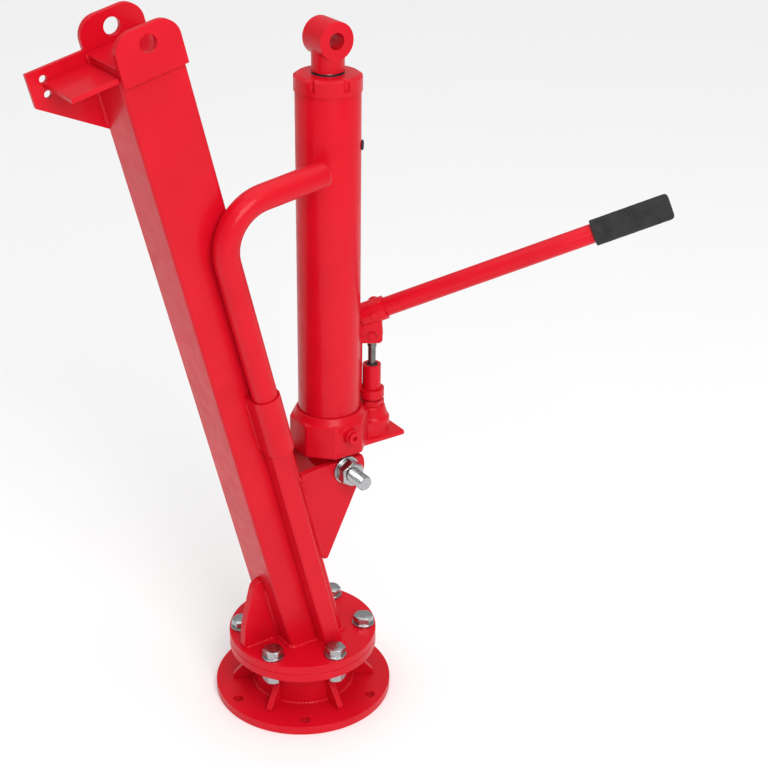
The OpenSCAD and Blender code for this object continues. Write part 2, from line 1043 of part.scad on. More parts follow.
module plunger() {
    blade_w = 10;
    eye_r = 7.5;
    blade_z = collar_z + collar_t - past;
    color(steel)
        at_pump(0)
            difference() {
                union() {
                    translate([0, 0, plunger_low])
                        cylinder(d = plunger_d, h = collar_z - plunger_low + past);
                    translate([0, 0, collar_z])
                        cylinder(r = head_half, h = collar_t);
                    translate([-blade_w / 2, -head_half, blade_z])
                        cube([blade_w, 2 * head_half, plunger_pin_z - blade_z]);
                    translate([0, 0, plunger_pin_z])
                        along_y(eye_r, 2 * head_half);
                }
                translate([0, 0, plunger_pin_z])
                    along_y(pin_r + joined, 2 * (head_half + past));
            }
}

module plunger_pin() {
    color(zinc)
        at_pump(plunger_pin_z)
            along_y(pin_r, 2 * (cheek_out + pin_over));
}

module plunger_clips() {
    color(steel)
        at_pump(plunger_pin_z)
            pin_clips();
}

// One cheek's outline, with the handle's plane as X and height above the fulcrum as Y.
module cheek_outline() {
    corner_r = 6;
    top_r = 9;
    difference() {
        union() {
            translate([fulcrum_u, 0])
                circle(r = cheek_r);
            for (corner = [[8, 0], [-12, 30]])
                translate(corner)
                    circle(r = corner_r);
            translate([2, 42])
                circle(r = top_r);
            polygon([[fulcrum_u, -cheek_r], [8, -corner_r], [14, 0], [11, 42], [2, 51],
                [-12, 36], [-18, 30], [fulcrum_u - cheek_r, 0]]);
        }
        translate([fulcrum_u, 0])
            circle(r = pin_r + 3 * joined);
        translate([fulcrum_u, 0])
            rotate([0, 0, stroke_mid]) {
                for (s = [-1, 1])
                    translate([slot_mid + s * slot_half, 0])
                        circle(r = slot_r);
                translate([slot_mid - slot_half, -slot_r])
                    square([2 * slot_half, 2 * slot_r]);
            }
    }
}

module handle_socket() {
    back_t = 3;
    boss_out = 3;
    color(red)
        difference() {
            union() {
                at_pump(fulcrum_z)
                    for (y = [-cheek_in, cheek_out])
                        translate([0, y, 0])
                            rotate([90, 0, 0])
                                linear_extrude(cheek_t)
                                    cheek_outline();
                on_handle()
                    translate([0, 0, -socket_back - back_t])
                        cylinder(r = socket_bore + socket_wall, h = socket_len);
                on_handle()
                    translate([0, 0, screw_up])
                        along_y(screw_boss_r, 2 * (socket_bore + socket_wall + boss_out));
            }
            on_handle()
                translate([0, 0, -socket_back])
                    cylinder(r = socket_bore, h = 2 * socket_len);
            on_handle()
                translate([0, handle_d, screw_up])
                    along_y(screw_r + run, 2 * handle_d);
        }
}

module clamp_screw() {
    shank = 9;
    head_up = 7;
    head_af = 10;
    head_t = 6;
    color(zinc)
        on_handle()
            translate([0, handle_d / 2 + 2 * run, screw_up])
                rotate([-90, 0, 0]) {
                    cylinder(r = screw_r, h = shank);
                    translate([0, 0, head_up])
                        hex(head_af, head_t);
                }
}

module pump_handle() {
    color(red)
        on_handle()
            translate([0, 0, -socket_back])
                tube(handle_d / 2, handle_d / 2 - handle_wall, handle_len + socket_back);
}

module handle_grip() {
    end_t = 8;
    start = handle_len + end_t - grip_len;
    edge = 5;
    vent_r = 3;
    r = grip_d / 2;
    color(dark)
        on_handle()
            translate([0, 0, start])
                rotate_extrude()
                    difference() {
                        union() {
                            square([r - edge, grip_len]);
                            translate([0, edge])
                                square([r, grip_len - 2 * edge]);
                            for (z = [edge, grip_len - edge])
                                translate([r - edge, z])
                                    circle(r = edge);
                        }
                        translate([0, -past])
                            square([handle_d / 2 + joined, grip_len - end_t + past]);
                        translate([0, -past])
                            square([vent_r, grip_len + 2 * past]);
                    }
}

base_plate();
pedestal();
base_gussets();
kingpin_bush();
bearing_lower_race();
bearing_balls();
dust_seal();
bearing_upper_race();
turntable();
kingpin();
kingpin_washer();
kingpin_nut();
kingpin_cotter();
mast_flange();
flange_bolts();
flange_washers();
flange_nuts();
mast_tube();
foot_rib();
jack_ear_front();
jack_ear_rear();
pivot_bolt();
pivot_nut();
pivot_washers();
pivot_spacers();
rail_post();
handle_sleeve();
mast_cap();
boom_ear_front();
boom_ear_rear();
winch_plate();
winch_stiffener();
swing_handle();
swing_handle_cap();
jack_casting();
reservoir_tube();
pressure_cylinder();
head_nut();
ram_wiper();
filler_plug();
pump_barrel();
pump_gland();
check_balls();
passage_plug();
release_valve();
ram();
ram_piston();
piston_seal();
ram_head();
fulcrum_link();
fulcrum_pin();
fulcrum_clips();
plunger();
plunger_pin();
plunger_clips();
handle_socket();
clamp_screw();
pump_handle();
handle_grip();
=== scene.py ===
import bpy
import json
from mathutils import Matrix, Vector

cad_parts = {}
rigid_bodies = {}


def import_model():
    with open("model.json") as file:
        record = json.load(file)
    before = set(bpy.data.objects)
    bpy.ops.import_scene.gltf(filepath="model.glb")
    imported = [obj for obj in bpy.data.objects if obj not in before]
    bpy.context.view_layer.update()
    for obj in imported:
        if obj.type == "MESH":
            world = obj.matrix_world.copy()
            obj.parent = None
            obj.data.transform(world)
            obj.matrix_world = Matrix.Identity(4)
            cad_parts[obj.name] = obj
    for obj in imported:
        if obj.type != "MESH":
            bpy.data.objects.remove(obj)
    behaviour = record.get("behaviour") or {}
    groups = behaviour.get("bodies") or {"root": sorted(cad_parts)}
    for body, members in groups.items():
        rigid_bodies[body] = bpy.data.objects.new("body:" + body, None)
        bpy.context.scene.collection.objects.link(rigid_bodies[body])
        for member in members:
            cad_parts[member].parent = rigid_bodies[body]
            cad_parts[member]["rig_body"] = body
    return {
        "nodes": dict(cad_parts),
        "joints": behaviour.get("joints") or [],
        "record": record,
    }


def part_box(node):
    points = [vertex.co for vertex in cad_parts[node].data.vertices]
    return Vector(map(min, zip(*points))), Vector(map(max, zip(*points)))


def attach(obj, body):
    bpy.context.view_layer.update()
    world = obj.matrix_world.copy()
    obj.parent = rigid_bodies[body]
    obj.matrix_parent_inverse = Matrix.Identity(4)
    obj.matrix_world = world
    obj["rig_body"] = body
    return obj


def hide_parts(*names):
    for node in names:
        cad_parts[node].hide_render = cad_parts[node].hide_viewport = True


bl_info = {
    "name": "Crane Column with Hydraulic Jack",
    "version": (1, 0, 0),
    "blender": (4, 5, 0),
    "location": "View3D > Sidebar > Jack",
    "description": "Builds the finished look of a swivelling column with a hydraulic jack",
    "category": "Object",
}

import json
import math

import bmesh
import bpy
import numpy as np
from mathutils import Matrix

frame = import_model()
NODES = frame["nodes"]
JOINTS = {joint["name"]: joint for joint in frame["joints"]}
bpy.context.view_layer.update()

POLE = 1e-6          # radius of a ring that closes a surface at its middle
FIT = 0.00005        # gap between a thread and the bore round it
SLIP = 0.0003        # gap between a shank and a washer
EASE = 0.0005        # rounding on the edges of small turned parts
TUBE_WALL = 0.002    # wall of the handles' tubes
SWELL = 0.0001       # how far the CAD bend stands out from its tube
MERGE = 2e-6         # points of a CAD node nearer than this are one point
THIRTY = math.radians(30)


# ---------------------------------------------------------------------------
# Places read from the frame
# ---------------------------------------------------------------------------


def low(node):
    """The lowest corner of a CAD node as an array."""
    return np.array(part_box(node)[0])


def high(node):
    """The highest corner of a CAD node as an array."""
    return np.array(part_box(node)[1])


def unit(vector):
    """The vector scaled to length one."""
    vector = np.asarray(vector, float)
    return vector / np.linalg.norm(vector)


FLANGE_TOP = high("mast_flange")[2]
COLUMN_UP = unit(JOINTS["swing_handle_lift"]["axis"])
COLUMN_OUT = np.array([COLUMN_UP[2], 0.0, -COLUMN_UP[0]])
COLUMN_FOOT = np.array([0.0, 0.0, FLANGE_TOP])
ACROSS_Y = np.array([0.0, 1.0, 0.0])
PIVOT = np.array(JOINTS["jack_tilt"]["pos_m"])
JACK_AXIS = np.array([PIVOT[0], 0.0, 0.0])
PUMP_AXIS = np.array(JOINTS["pump_head_turn"]["pos_m"]) * np.array([1.0, 1.0, 0.0])
LEVER_SIDE = unit(JOINTS["handle_pump"]["axis"])
LEVER_OUT = np.array([LEVER_SIDE[1], -LEVER_SIDE[0], 0.0])
Z_UP = np.array([0.0, 0.0, 1.0])
LEAN = math.atan2(-COLUMN_UP[0], COLUMN_UP[2])


def on_column(points):
    """Carries points (across, side, along) of the leaning column into the row frame."""
    points = np.asarray(points, float)
    return (COLUMN_FOOT + points[..., :1] * COLUMN_OUT + points[..., 1:2] * ACROSS_Y
            + points[..., 2:3] * COLUMN_UP)


def carried(points, origin, x, y, z):
    """Carries local points into the row frame with the given origin and axes."""
    points = np.asarray(points, float)
    return (np.asarray(origin, float) + points[..., :1] * x + points[..., 1:2] * y
            + points[..., 2:3] * z)


def side_axes(direction):
    """Two unit vectors square to a direction, so that the three form a right-handed set."""
    direction = unit(direction)
    helper = Z_UP if abs(direction[2]) < 0.9 else np.array([1.0, 0.0, 0.0])
    x = unit(np.cross(helper, direction))
    return x, np.cross(direction, x)


def placing(x, y, z, place):
    """The matrix that puts an object at a place with the given axes."""
    matrix = np.eye(4)
    matrix[:3] = np.column_stack([x, y, z, place])
    return Matrix(matrix.tolist())


# ---------------------------------------------------------------------------
# Sizes and colours that a user may change
# ---------------------------------------------------------------------------


def length_property(label, text, value):
    """A length in metres with its label and description."""
    return bpy.props.FloatProperty(name=label, description=text, default=value, unit="LENGTH",
                                   precision=4)


def colour_property(label, text, value):
    """A linear colour with its label and description."""
    return bpy.props.FloatVectorProperty(name=label, description=text, default=value, size=3,
                                         subtype="COLOR", min=0.0, max=1.0)


class ColumnSettings(bpy.types.PropertyGroup):
    """Sizes of the column's finish."""

    corner: length_property("Corner radius", "Outside corner radius of the column tube", 0.0055)
    wall: length_property("Wall", "Wall of the column tube", 0.005)
    small_corner: length_property("Small corner radius", "Corner radius of the handle's post",
                                  0.003)
    post_wall: length_property("Post wall", "Wall of the handle's post", 0.002)
    weld: length_property("Weld size", "Radius of the weld beads at the column's foot", 0.0042)
    edge: length_property("Plate edge", "Rounding on the edges of plates", 0.0008)
    bolt_circle: length_property("Bolt circle", "Diameter of the flange's bolt circle", 0.166)


class JackSettings(bpy.types.PropertyGroup):
    """Sizes of the jack's finish."""

    cast_grid: length_property("Casting grid", "Spacing of the casting's even grid", 0.0013)
    cast_rounds: bpy.props.IntProperty(name="Casting rounds", default=14,
                                       description="How often the casting's edges are eased")
    thread_pitch: length_property("Thread pitch", "Pitch of the pivot bolt's thread", 0.0035)
    thread_depth: length_property("Thread depth", "Depth of the pivot bolt's thread", 0.0019)
    grip_ripple: length_property("Grip ripple", "Height of the foam grip's surface waves", 0.00012)


class FinishSettings(bpy.types.PropertyGroup):
    """Colours of the finishes."""

    enamel: colour_property("Enamel", "Colour of the red enamel", (0.66, 0.004, 0.017))
    enamel_shade: colour_property("Enamel shade", "Darker tone in the enamel", (0.60, 0.003, 0.014))
    zinc: colour_property("Zinc", "Colour of the zinc plating", (0.47, 0.48, 0.49))
    steel: colour_property("Steel", "Colour of bare machined steel", (0.20, 0.20, 0.19))
    foam: colour_property("Foam", "Colour of the handle's grip", (0.022, 0.021, 0.021))
    floor: colour_property("Floor", "Colour of the floor", (0.93, 0.93, 0.93))


class StageSettings(bpy.types.PropertyGroup):
    """The camera and the lights."""

    azimuth: bpy.props.FloatProperty(name="Azimuth", description="Direction the camera looks in",
                                     default=math.radians(-34.3), subtype="ANGLE")
    elevation: bpy.props.FloatProperty(name="Elevation", description="Camera's height angle",
                                       default=math.radians(26.13), subtype="ANGLE")
    roll: bpy.props.FloatProperty(name="Roll", description="Turn of the camera about its view",
                                  default=math.radians(0.74), subtype="ANGLE")
    place: bpy.props.FloatVectorProperty(name="Place", description="Where the camera stands",
                                         default=(-0.9695, -1.6114, 1.3837), size=3,
                                         subtype="TRANSLATION")
    lens: bpy.props.FloatProperty(name="Lens", description="Focal length in millimetres",
                                  default=77.05)
    sky: bpy.props.FloatProperty(name="Sky", description="Strength of the even white light",
                                 default=0.44)
    key: bpy.props.FloatProperty(name="Key", description="Power of the front light in watts",
                                 default=54.0)
    top: bpy.props.FloatProperty(name="Top", description="Strength of the overhead light",
                                 default=1.55)
    softness: bpy.props.FloatProperty(name="Softness", description="Width of the overhead light",
                                      default=math.radians(80), subtype="ANGLE")


SETTINGS = {"column_look": ColumnSettings, "jack_look": JackSettings,
            "finish_look": FinishSettings, "stage_look": StageSettings}


# ---------------------------------------------------------------------------
# Surfaces worked out on grids
# ---------------------------------------------------------------------------


def grid_faces(rows, columns, close_rows, close_columns):
    """Quads of a grid: each joins a point with its neighbours along the row and the column."""
    row_ends = rows if close_rows else rows - 1
    column_ends = columns if close_columns else columns - 1
    r, c = np.meshgrid(np.arange(row_ends), np.arange(column_ends), indexing="ij")
    r2, c2 = (r + 1) % rows, (c + 1) % columns
    corners = [r * columns + c, r * columns + c2, r2 * columns + c2, r2 * columns + c]
    return np.stack(corners, axis=-1).reshape(-1, 4)


def tidy_mesh(mesh, merge):
    """Merges points that fall together and turns every face outwards."""
    work = bmesh.new()
    work.from_mesh(mesh)
    bmesh.ops.remove_doubles(work, verts=work.verts, dist=merge)
    bmesh.ops.dissolve_degenerate(work, edges=work.edges, dist=1e-7)
    bmesh.ops.recalc_face_normals(work, faces=work.faces)
    work.to_mesh(mesh)
    work.free()


def surface(name, grids, body, material, sharp=35.0, replaced=()):
    """One piece from a list of (points, close_rows, close_columns) grids, riding on a body."""
    points, faces, start = [], [], 0
    for grid, close_rows, close_columns in grids:
        rows, columns = grid.shape[:2]
        points.append(grid.reshape(-1, 3))
        faces.append(grid_faces(rows, columns, close_rows, close_columns) + start)
        start += rows * columns
    mesh = bpy.data.meshes.new(name)
    mesh.from_pydata(np.concatenate(points).tolist(), [], np.concatenate(faces).tolist())
    tidy_mesh(mesh, POLE)
    mesh.polygons.foreach_set("use_smooth", np.ones(len(mesh.polygons), bool))
    mesh.set_sharp_from_angle(angle=math.radians(sharp))
    mesh.materials.append(material)
    piece = bpy.data.objects.new(name, mesh)
    bpy.context.scene.collection.objects.link(piece)
    finish_piece(piece, body, replaced)


def finish_piece(piece, body, replaced):
    """Rides the piece on its body and hides the CAD nodes it stands for."""
    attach(piece, body)
    if replaced:
        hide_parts(*replaced)


def circle_section(radius, steps=64):
    """Points of a circle: angle runs evenly once round."""
    angle = np.arange(steps) * 2 * np.pi / steps
    return np.stack([radius * np.cos(angle), radius * np.sin(angle)], axis=-1)


def square_section(width, radius, steps=7):
    """A square with rounded corners: four quarter arcs, with a point on each flat by every arc."""
    support = 0.0012
    turn = np.linspace(0, np.pi / 2, steps)
    reach = width / 2 - radius
    parts = []
    for k in range(4):
        angle = turn + k * np.pi / 2
        centre = reach * np.sqrt(2) * np.array([np.cos(np.pi / 4 + k * np.pi / 2),
                                                np.sin(np.pi / 4 + k * np.pi / 2)])
        arc = centre + radius * np.stack([np.cos(angle), np.sin(angle)], axis=-1)
        before = arc[0] + support * np.array([np.sin(angle[0]), -np.cos(angle[0])])
        after = arc[-1] + support * np.array([-np.sin(angle[-1]), np.cos(angle[-1])])
        parts.append(np.concatenate([[before], arc, [after]]))
    return np.concatenate(parts)


def hollow_rows(outer, inner, start, end):
    """Rows of a hollow bar: out along the outer wall, in at the end, back along the inner wall.

    start and end are the heights of the cut, a number or one value for each point of the
    outline. Each mouth has a small chamfer.
    """
    edge = 0.0006
    count = len(outer)
    start = np.broadcast_to(start, count)
    end = np.broadcast_to(end, count)
    pulled = outer * (1 - edge / np.linalg.norm(outer, axis=1, keepdims=True))
    rows = [(pulled, start), (outer, start + edge), (outer, start + 3 * edge),
            (outer, end - 3 * edge), (outer, end - edge), (pulled, end), (inner, end),
            (inner, start)]
    return np.stack([np.column_stack([section, height]) for section, height in rows])


def swept(section_radius, path, normals, steps=48):
    """A round bar along a path: each point carries a circle in the plane of its two normals.

    section_radius is one radius for each path point. normals is a pair of (n, 3) arrays.
    """
    angle = np.arange(steps) * 2 * np.pi / steps
    radius = np.broadcast_to(section_radius, len(path))
    first, second = normals
    return (path[:, None, :]
            + radius[:, None, None] * np.cos(angle)[None, :, None] * first[:, None, :]
            + radius[:, None, None] * np.sin(angle)[None, :, None] * second[:, None, :])


def path_normals(path, closed=False):
    """Two unit normals at each path point, square to the path and to one fixed axis."""
    if closed:
        tangent = np.roll(path, -1, axis=0) - np.roll(path, 1, axis=0)
    else:
        tangent = np.gradient(path, axis=0)
    tangent /= np.linalg.norm(tangent, axis=1, keepdims=True)
    spread = np.abs(tangent).sum(axis=0)
    helper = np.eye(3)[int(np.argmin(spread))]
    first = np.cross(tangent, helper)
    first /= np.linalg.norm(first, axis=1, keepdims=True)
    return first, np.cross(tangent, first)


def turned(profile, origin, axis, steps=72):
    """A turned part: each (radius, height) pair of the profile makes a ring round the axis."""
    profile = np.asarray(profile, float)
    x, y = side_axes(axis)
    angle = np.arange(steps) * 2 * np.pi / steps
    local = np.stack([profile[:, :1] * np.cos(angle), profile[:, :1] * np.sin(angle),
                      np.repeat(profile[:, 1:], steps, axis=1)], axis=-1)
    return carried(local, origin, x, y, unit(axis))


def rounded_profile(corners, radius, steps=5):
    """A profile through (radius, height) corners, each inner one cut by a quarter-turn fillet.

    Each fillet is a quadratic blend from one side of the corner to the other, with the
    corner itself as its middle control point.
    """
    corners = np.asarray(corners, float)
    parts = [corners[:1]]
    for before, here, after in zip(corners[:-2], corners[1:-1], corners[2:]):
        cut = min(radius, np.linalg.norm(here - before) * 0.45, np.linalg.norm(after - here) * 0.45)
        a = here + (before - here) / max(np.linalg.norm(before - here), 1e-9) * cut
        b = here + (after - here) / max(np.linalg.norm(after - here), 1e-9) * cut
        t = np.linspace(0, 1, steps)[:, None]
        parts.append((1 - t) ** 2 * a + 2 * t * (1 - t) * here + t ** 2 * b)
    parts.append(corners[-1:])
    return np.concatenate(parts)


def hexagon_radius(flats, angle):
    """Radius of a hexagon with the given width across flats at each angle."""
    return flats / 2 / np.cos((angle + np.pi / 6) % (np.pi / 3) - np.pi / 6)


def hex_head(flats, height, origin, axis, hole=0.0, turn=0.0, both_ends=False):
    """A hexagon head or nut: the hexagon's radius, cut at each end by a 30 degree cone.

    With a hole the surface goes on down the bore, else its face closes at the middle.
    """
    steps, mouth = 96, 0.0006
    slope = math.tan(THIRTY)
    angle = np.arange(steps) * 2 * np.pi / steps
    face = flats / 2 * 0.94
    bite = (flats / math.sqrt(3) - face) * slope
    heights = np.concatenate([np.linspace(0, bite, 8), np.linspace(height - bite, height, 8)])
    radius = np.broadcast_to(hexagon_radius(flats, angle), (len(heights), steps)).copy()
    top = face + (height - heights) / slope
    radius = np.minimum(radius, top[:, None])
    if both_ends:
        radius = np.minimum(radius, (face + heights / slope)[:, None])
    inner = [hole + mouth, hole] if hole else [flats * 0.2, 0.0]
    rows = [(np.full(steps, inner[-1]), heights[0]), (np.full(steps, inner[0]), heights[0])]
    rows += list(zip(radius, heights))
    rows += [(np.full(steps, inner[0]), heights[-1]), (np.full(steps, inner[-1]), heights[-1])]
    radii = np.stack([row[0] for row in rows])
    levels = np.array([row[1] for row in rows])
    local = np.stack([radii * np.cos(angle + turn), radii * np.sin(angle + turn),
                      np.broadcast_to(levels[:, None], radii.shape)], axis=-1)
    x, y = side_axes(axis)
    return carried(local, origin, x, y, unit(axis))


def threaded_rod(radius, length, pitch, depth, origin, axis, steps=40):
    """A screw thread: the radius falls and rises as a triangle wave of height minus turn.

    Both ends are cut by a cone, and their faces close at the middle.
    """
    chamfer = 0.0015
    rows = max(int(length / pitch * 8), 16)
    height = np.linspace(0, length, rows)[:, None]
    angle = (np.arange(steps) * 2 * np.pi / steps)[None, :]
    phase = (height / pitch - angle / (2 * np.pi)) % 1.0
    wave = np.clip(np.abs(phase * 2 - 1) * 1.25 - 0.12, 0, 1)
    radii = radius - depth * wave
    ends = radius - chamfer + np.minimum(height, length - height)
    radii = np.minimum(radii, ends)
    local = np.stack([radii * np.cos(angle), radii * np.sin(angle),
                      np.broadcast_to(height, radii.shape)], axis=-1)
    cap_low, cap_high = (local[row] * np.array([POLE, POLE, 1.0])
                         for row in (slice(0, 1), slice(-1, None)))
    x, y = side_axes(axis)
    return carried(np.concatenate([cap_low, local, cap_high]), origin, x, y, unit(axis))


def even_path(corners, closed=False):
    """Points at even distances along a chain of straight lines, and how far along each lies."""
    spacing = 0.0006
    corners = np.asarray(corners, float)
    if closed:
        corners = np.concatenate([corners, corners[:1]])
    lengths = np.linalg.norm(np.diff(corners, axis=0), axis=1)
    places = np.concatenate([[0], np.cumsum(lengths)])
    count = max(int(places[-1] / spacing), 4)
    wanted = np.linspace(0, places[-1], count, endpoint=not closed)
    return np.stack([np.interp(wanted, places, corners[:, k]) for k in range(3)], axis=-1), wanted


def weld_grid(corners, radius, closed=False, seed=0.0, pitch=0.0036):
    """A weld bead: a round bar whose radius steps in a row of overlapping scales.

    The scale wave rises fast and falls slowly, one for each pitch of length, and three sine
    waves of long, unlike lengths make the bead wander in size.
    """
    path, travelled = even_path(corners, closed=closed)
    phase = (travelled / pitch + 0.13 * np.sin(travelled / 0.017 + seed)) % 1.0
    scale = np.sqrt(np.clip(1 - (phase - 0.25) ** 2 / 0.6, 0, 1))
    wander = (0.06 * np.sin(travelled / 0.011 + seed) + 0.05 * np.sin(travelled / 0.0237 + 2 * seed)
              + 0.03 * np.sin(travelled / 0.0063 + 3 * seed))
    size = radius * (0.78 + 0.2 * scale + wander)
    if not closed:
        from_end = np.minimum(travelled, travelled[-1] - travelled)
        size = size * np.sqrt(np.clip(from_end / (1.5 * radius), 0, 1))
    return swept(size, path, path_normals(path, closed), steps=14), closed, True


# ---------------------------------------------------------------------------
# Places of the CAD nodes in each group's own axes
# ---------------------------------------------------------------------------

COLUMN = (COLUMN_FOOT, COLUMN_OUT, ACROSS_Y, COLUMN_UP)
JACK = (JACK_AXIS, np.array([1.0, 0.0, 0.0]), ACROSS_Y, Z_UP)
PUMP = (PUMP_AXIS, LEVER_OUT, LEVER_SIDE, Z_UP)


def node_points(node):
    """All the points of a CAD node, each once, in the row frame."""
    mesh = NODES[node].data
    points = np.empty(len(mesh.vertices) * 3, np.float32)
    mesh.vertices.foreach_get("co", points)
    return np.unique(points.reshape(-1, 3).round(6), axis=0).astype(float)


def box_in(node, axes):
    """Lowest and highest corner of a CAD node measured along a group's own axes."""
    origin, x, y, z = axes
    local = (node_points(node) - origin) @ np.stack([x, y, z], axis=1)
    return local.min(axis=0), local.max(axis=0)


def lever_axes():
    """The pump handle's axes: its long direction is the main direction of the tube's points."""
    points = node_points("pump_handle")
    centre = points.mean(axis=0)
    along = np.linalg.svd(points - centre, full_matrices=False)[2][0]
    along = unit(along * np.sign(along @ LEVER_OUT))
    reach = ((PUMP_AXIS - centre) @ LEVER_OUT) / (along @ LEVER_OUT)
    origin = centre + along * reach
    origin[:2] = PUMP_AXIS[:2]
    return origin, np.cross(LEVER_SIDE, along), LEVER_SIDE, along


def seam(place, start, end, size, seed=0.0):
    """A straight weld bead up the column at (across, side), from one height to another."""
    return weld_grid(on_column([(*place, start), (*place, end)]), size, seed=seed)


LEVER = lever_axes()
SLOT_OF = {part["node"]: part["material_slot"] for part in frame["record"]["subparts"]}
FINISHES = {}


def stand_in(node, grids, name=None, sharp=35.0, also=()):
    """A worked-out surface in place of a CAD node, with the node's body, slot and finish."""
    slot_name = SLOT_OF[node]
    surface(name or node + "_look", grids, NODES[node]["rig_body"],
            FINISHES[slot_name], sharp, (node, *also))


def turned_in(node, profile, origin, axis, steps, name=None):
    """A turned part in place of a CAD node."""
    stand_in(node, [(turned(profile, origin, axis, steps), False, True)], name)


def washer_profile(inner, outer, thick):
    """The section of a flat washer with eased outside edges."""
    return rounded_profile([(inner, 0), (outer, 0), (outer, thick), (inner, thick)], EASE)


def tube_profile(radius, wall, tall):
    """The closed section of a plain tube's wall."""
    return rounded_profile([(radius - wall, 0), (radius, 0), (radius, tall),
                            (radius - wall, tall), (radius - wall, 0)], EASE, 3)


def merged_copy(node):
    """A copy of a CAD node's mesh with its loose triangles joined at their shared points."""
    mesh = NODES[node].data.copy()
    work = bmesh.new()
    work.from_mesh(mesh)
    bmesh.ops.remove_doubles(work, verts=work.verts, dist=MERGE)
    return mesh, work


def write_mesh(work, mesh):
    """Turns the faces outwards and writes the working copy back to its mesh."""
    bmesh.ops.recalc_face_normals(work, faces=work.faces)
    work.to_mesh(mesh)
    work.free()


def placed(node, mesh, material, name):
    """Puts a finished copy of a CAD node in the scene in that node's place."""
    mesh.name = node + "_look"
    mesh.materials.clear()
    mesh.materials.append(material)
    mesh.polygons.foreach_set("use_smooth", np.ones(len(mesh.polygons), bool))
    piece = bpy.data.objects.new(name or node + "_look", mesh)
    bpy.context.scene.collection.objects.link(piece)
    finish_piece(piece, NODES[node]["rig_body"], (node,))
    return piece


def rounded_plate(node, width, segments=2, name=None):
    """A CAD node's shape with its loose triangles merged, flat areas joined and edges bevelled."""
    mesh, work = merged_copy(node)
    bmesh.ops.dissolve_limit(work, angle_limit=math.radians(0.5), verts=work.verts,
                             edges=work.edges)
    write_mesh(work, mesh)
    piece = placed(node, mesh, FINISHES[SLOT_OF[node]], name)
    mesh.set_sharp_from_angle(angle=THIRTY)
    bevel = piece.modifiers.new("Edges", "BEVEL")
    bevel.width = width
    bevel.segments = segments
    bevel.limit_method = "ANGLE"
    bevel.angle_limit = THIRTY
    bevel.miter_outer = "MITER_ARC"
    bevel.harden_normals = True


def cast_shape(node, grid_size, rounds, name, material):
    """A casting's soft shape: the merged CAD shape on an even grid, its edges eased by averaging.

    Each round moves a point half of the way to the mean of its neighbours.
    """
    mesh, work = merged_copy(node)
    write_mesh(work, mesh)
    draft = bpy.data.objects.new("draft", mesh)
    bpy.context.scene.collection.objects.link(draft)
    grid = draft.modifiers.new("Grid", "REMESH")
    grid.mode = "VOXEL"
    grid.voxel_size = grid_size
    ease = draft.modifiers.new("Ease", "SMOOTH")
    ease.factor = 0.5
    ease.iterations = rounds
    shape = bpy.data.meshes.new_from_object(draft.evaluated_get(
        bpy.context.evaluated_depsgraph_get()))
    bpy.data.objects.remove(draft)
    bpy.data.meshes.remove(mesh)
    placed(node, shape, material, name)


def keep_node(*names):
    """Gives carried CAD nodes the finish of their slot."""
    for name in names:
        slots = NODES[name].material_slots
        if not slots:
            raise RuntimeError("no material slot on " + name)
        for place in slots:
            place.material = FINISHES[SLOT_OF[name]]


# ---------------------------------------------------------------------------
# Finishes
# ---------------------------------------------------------------------------


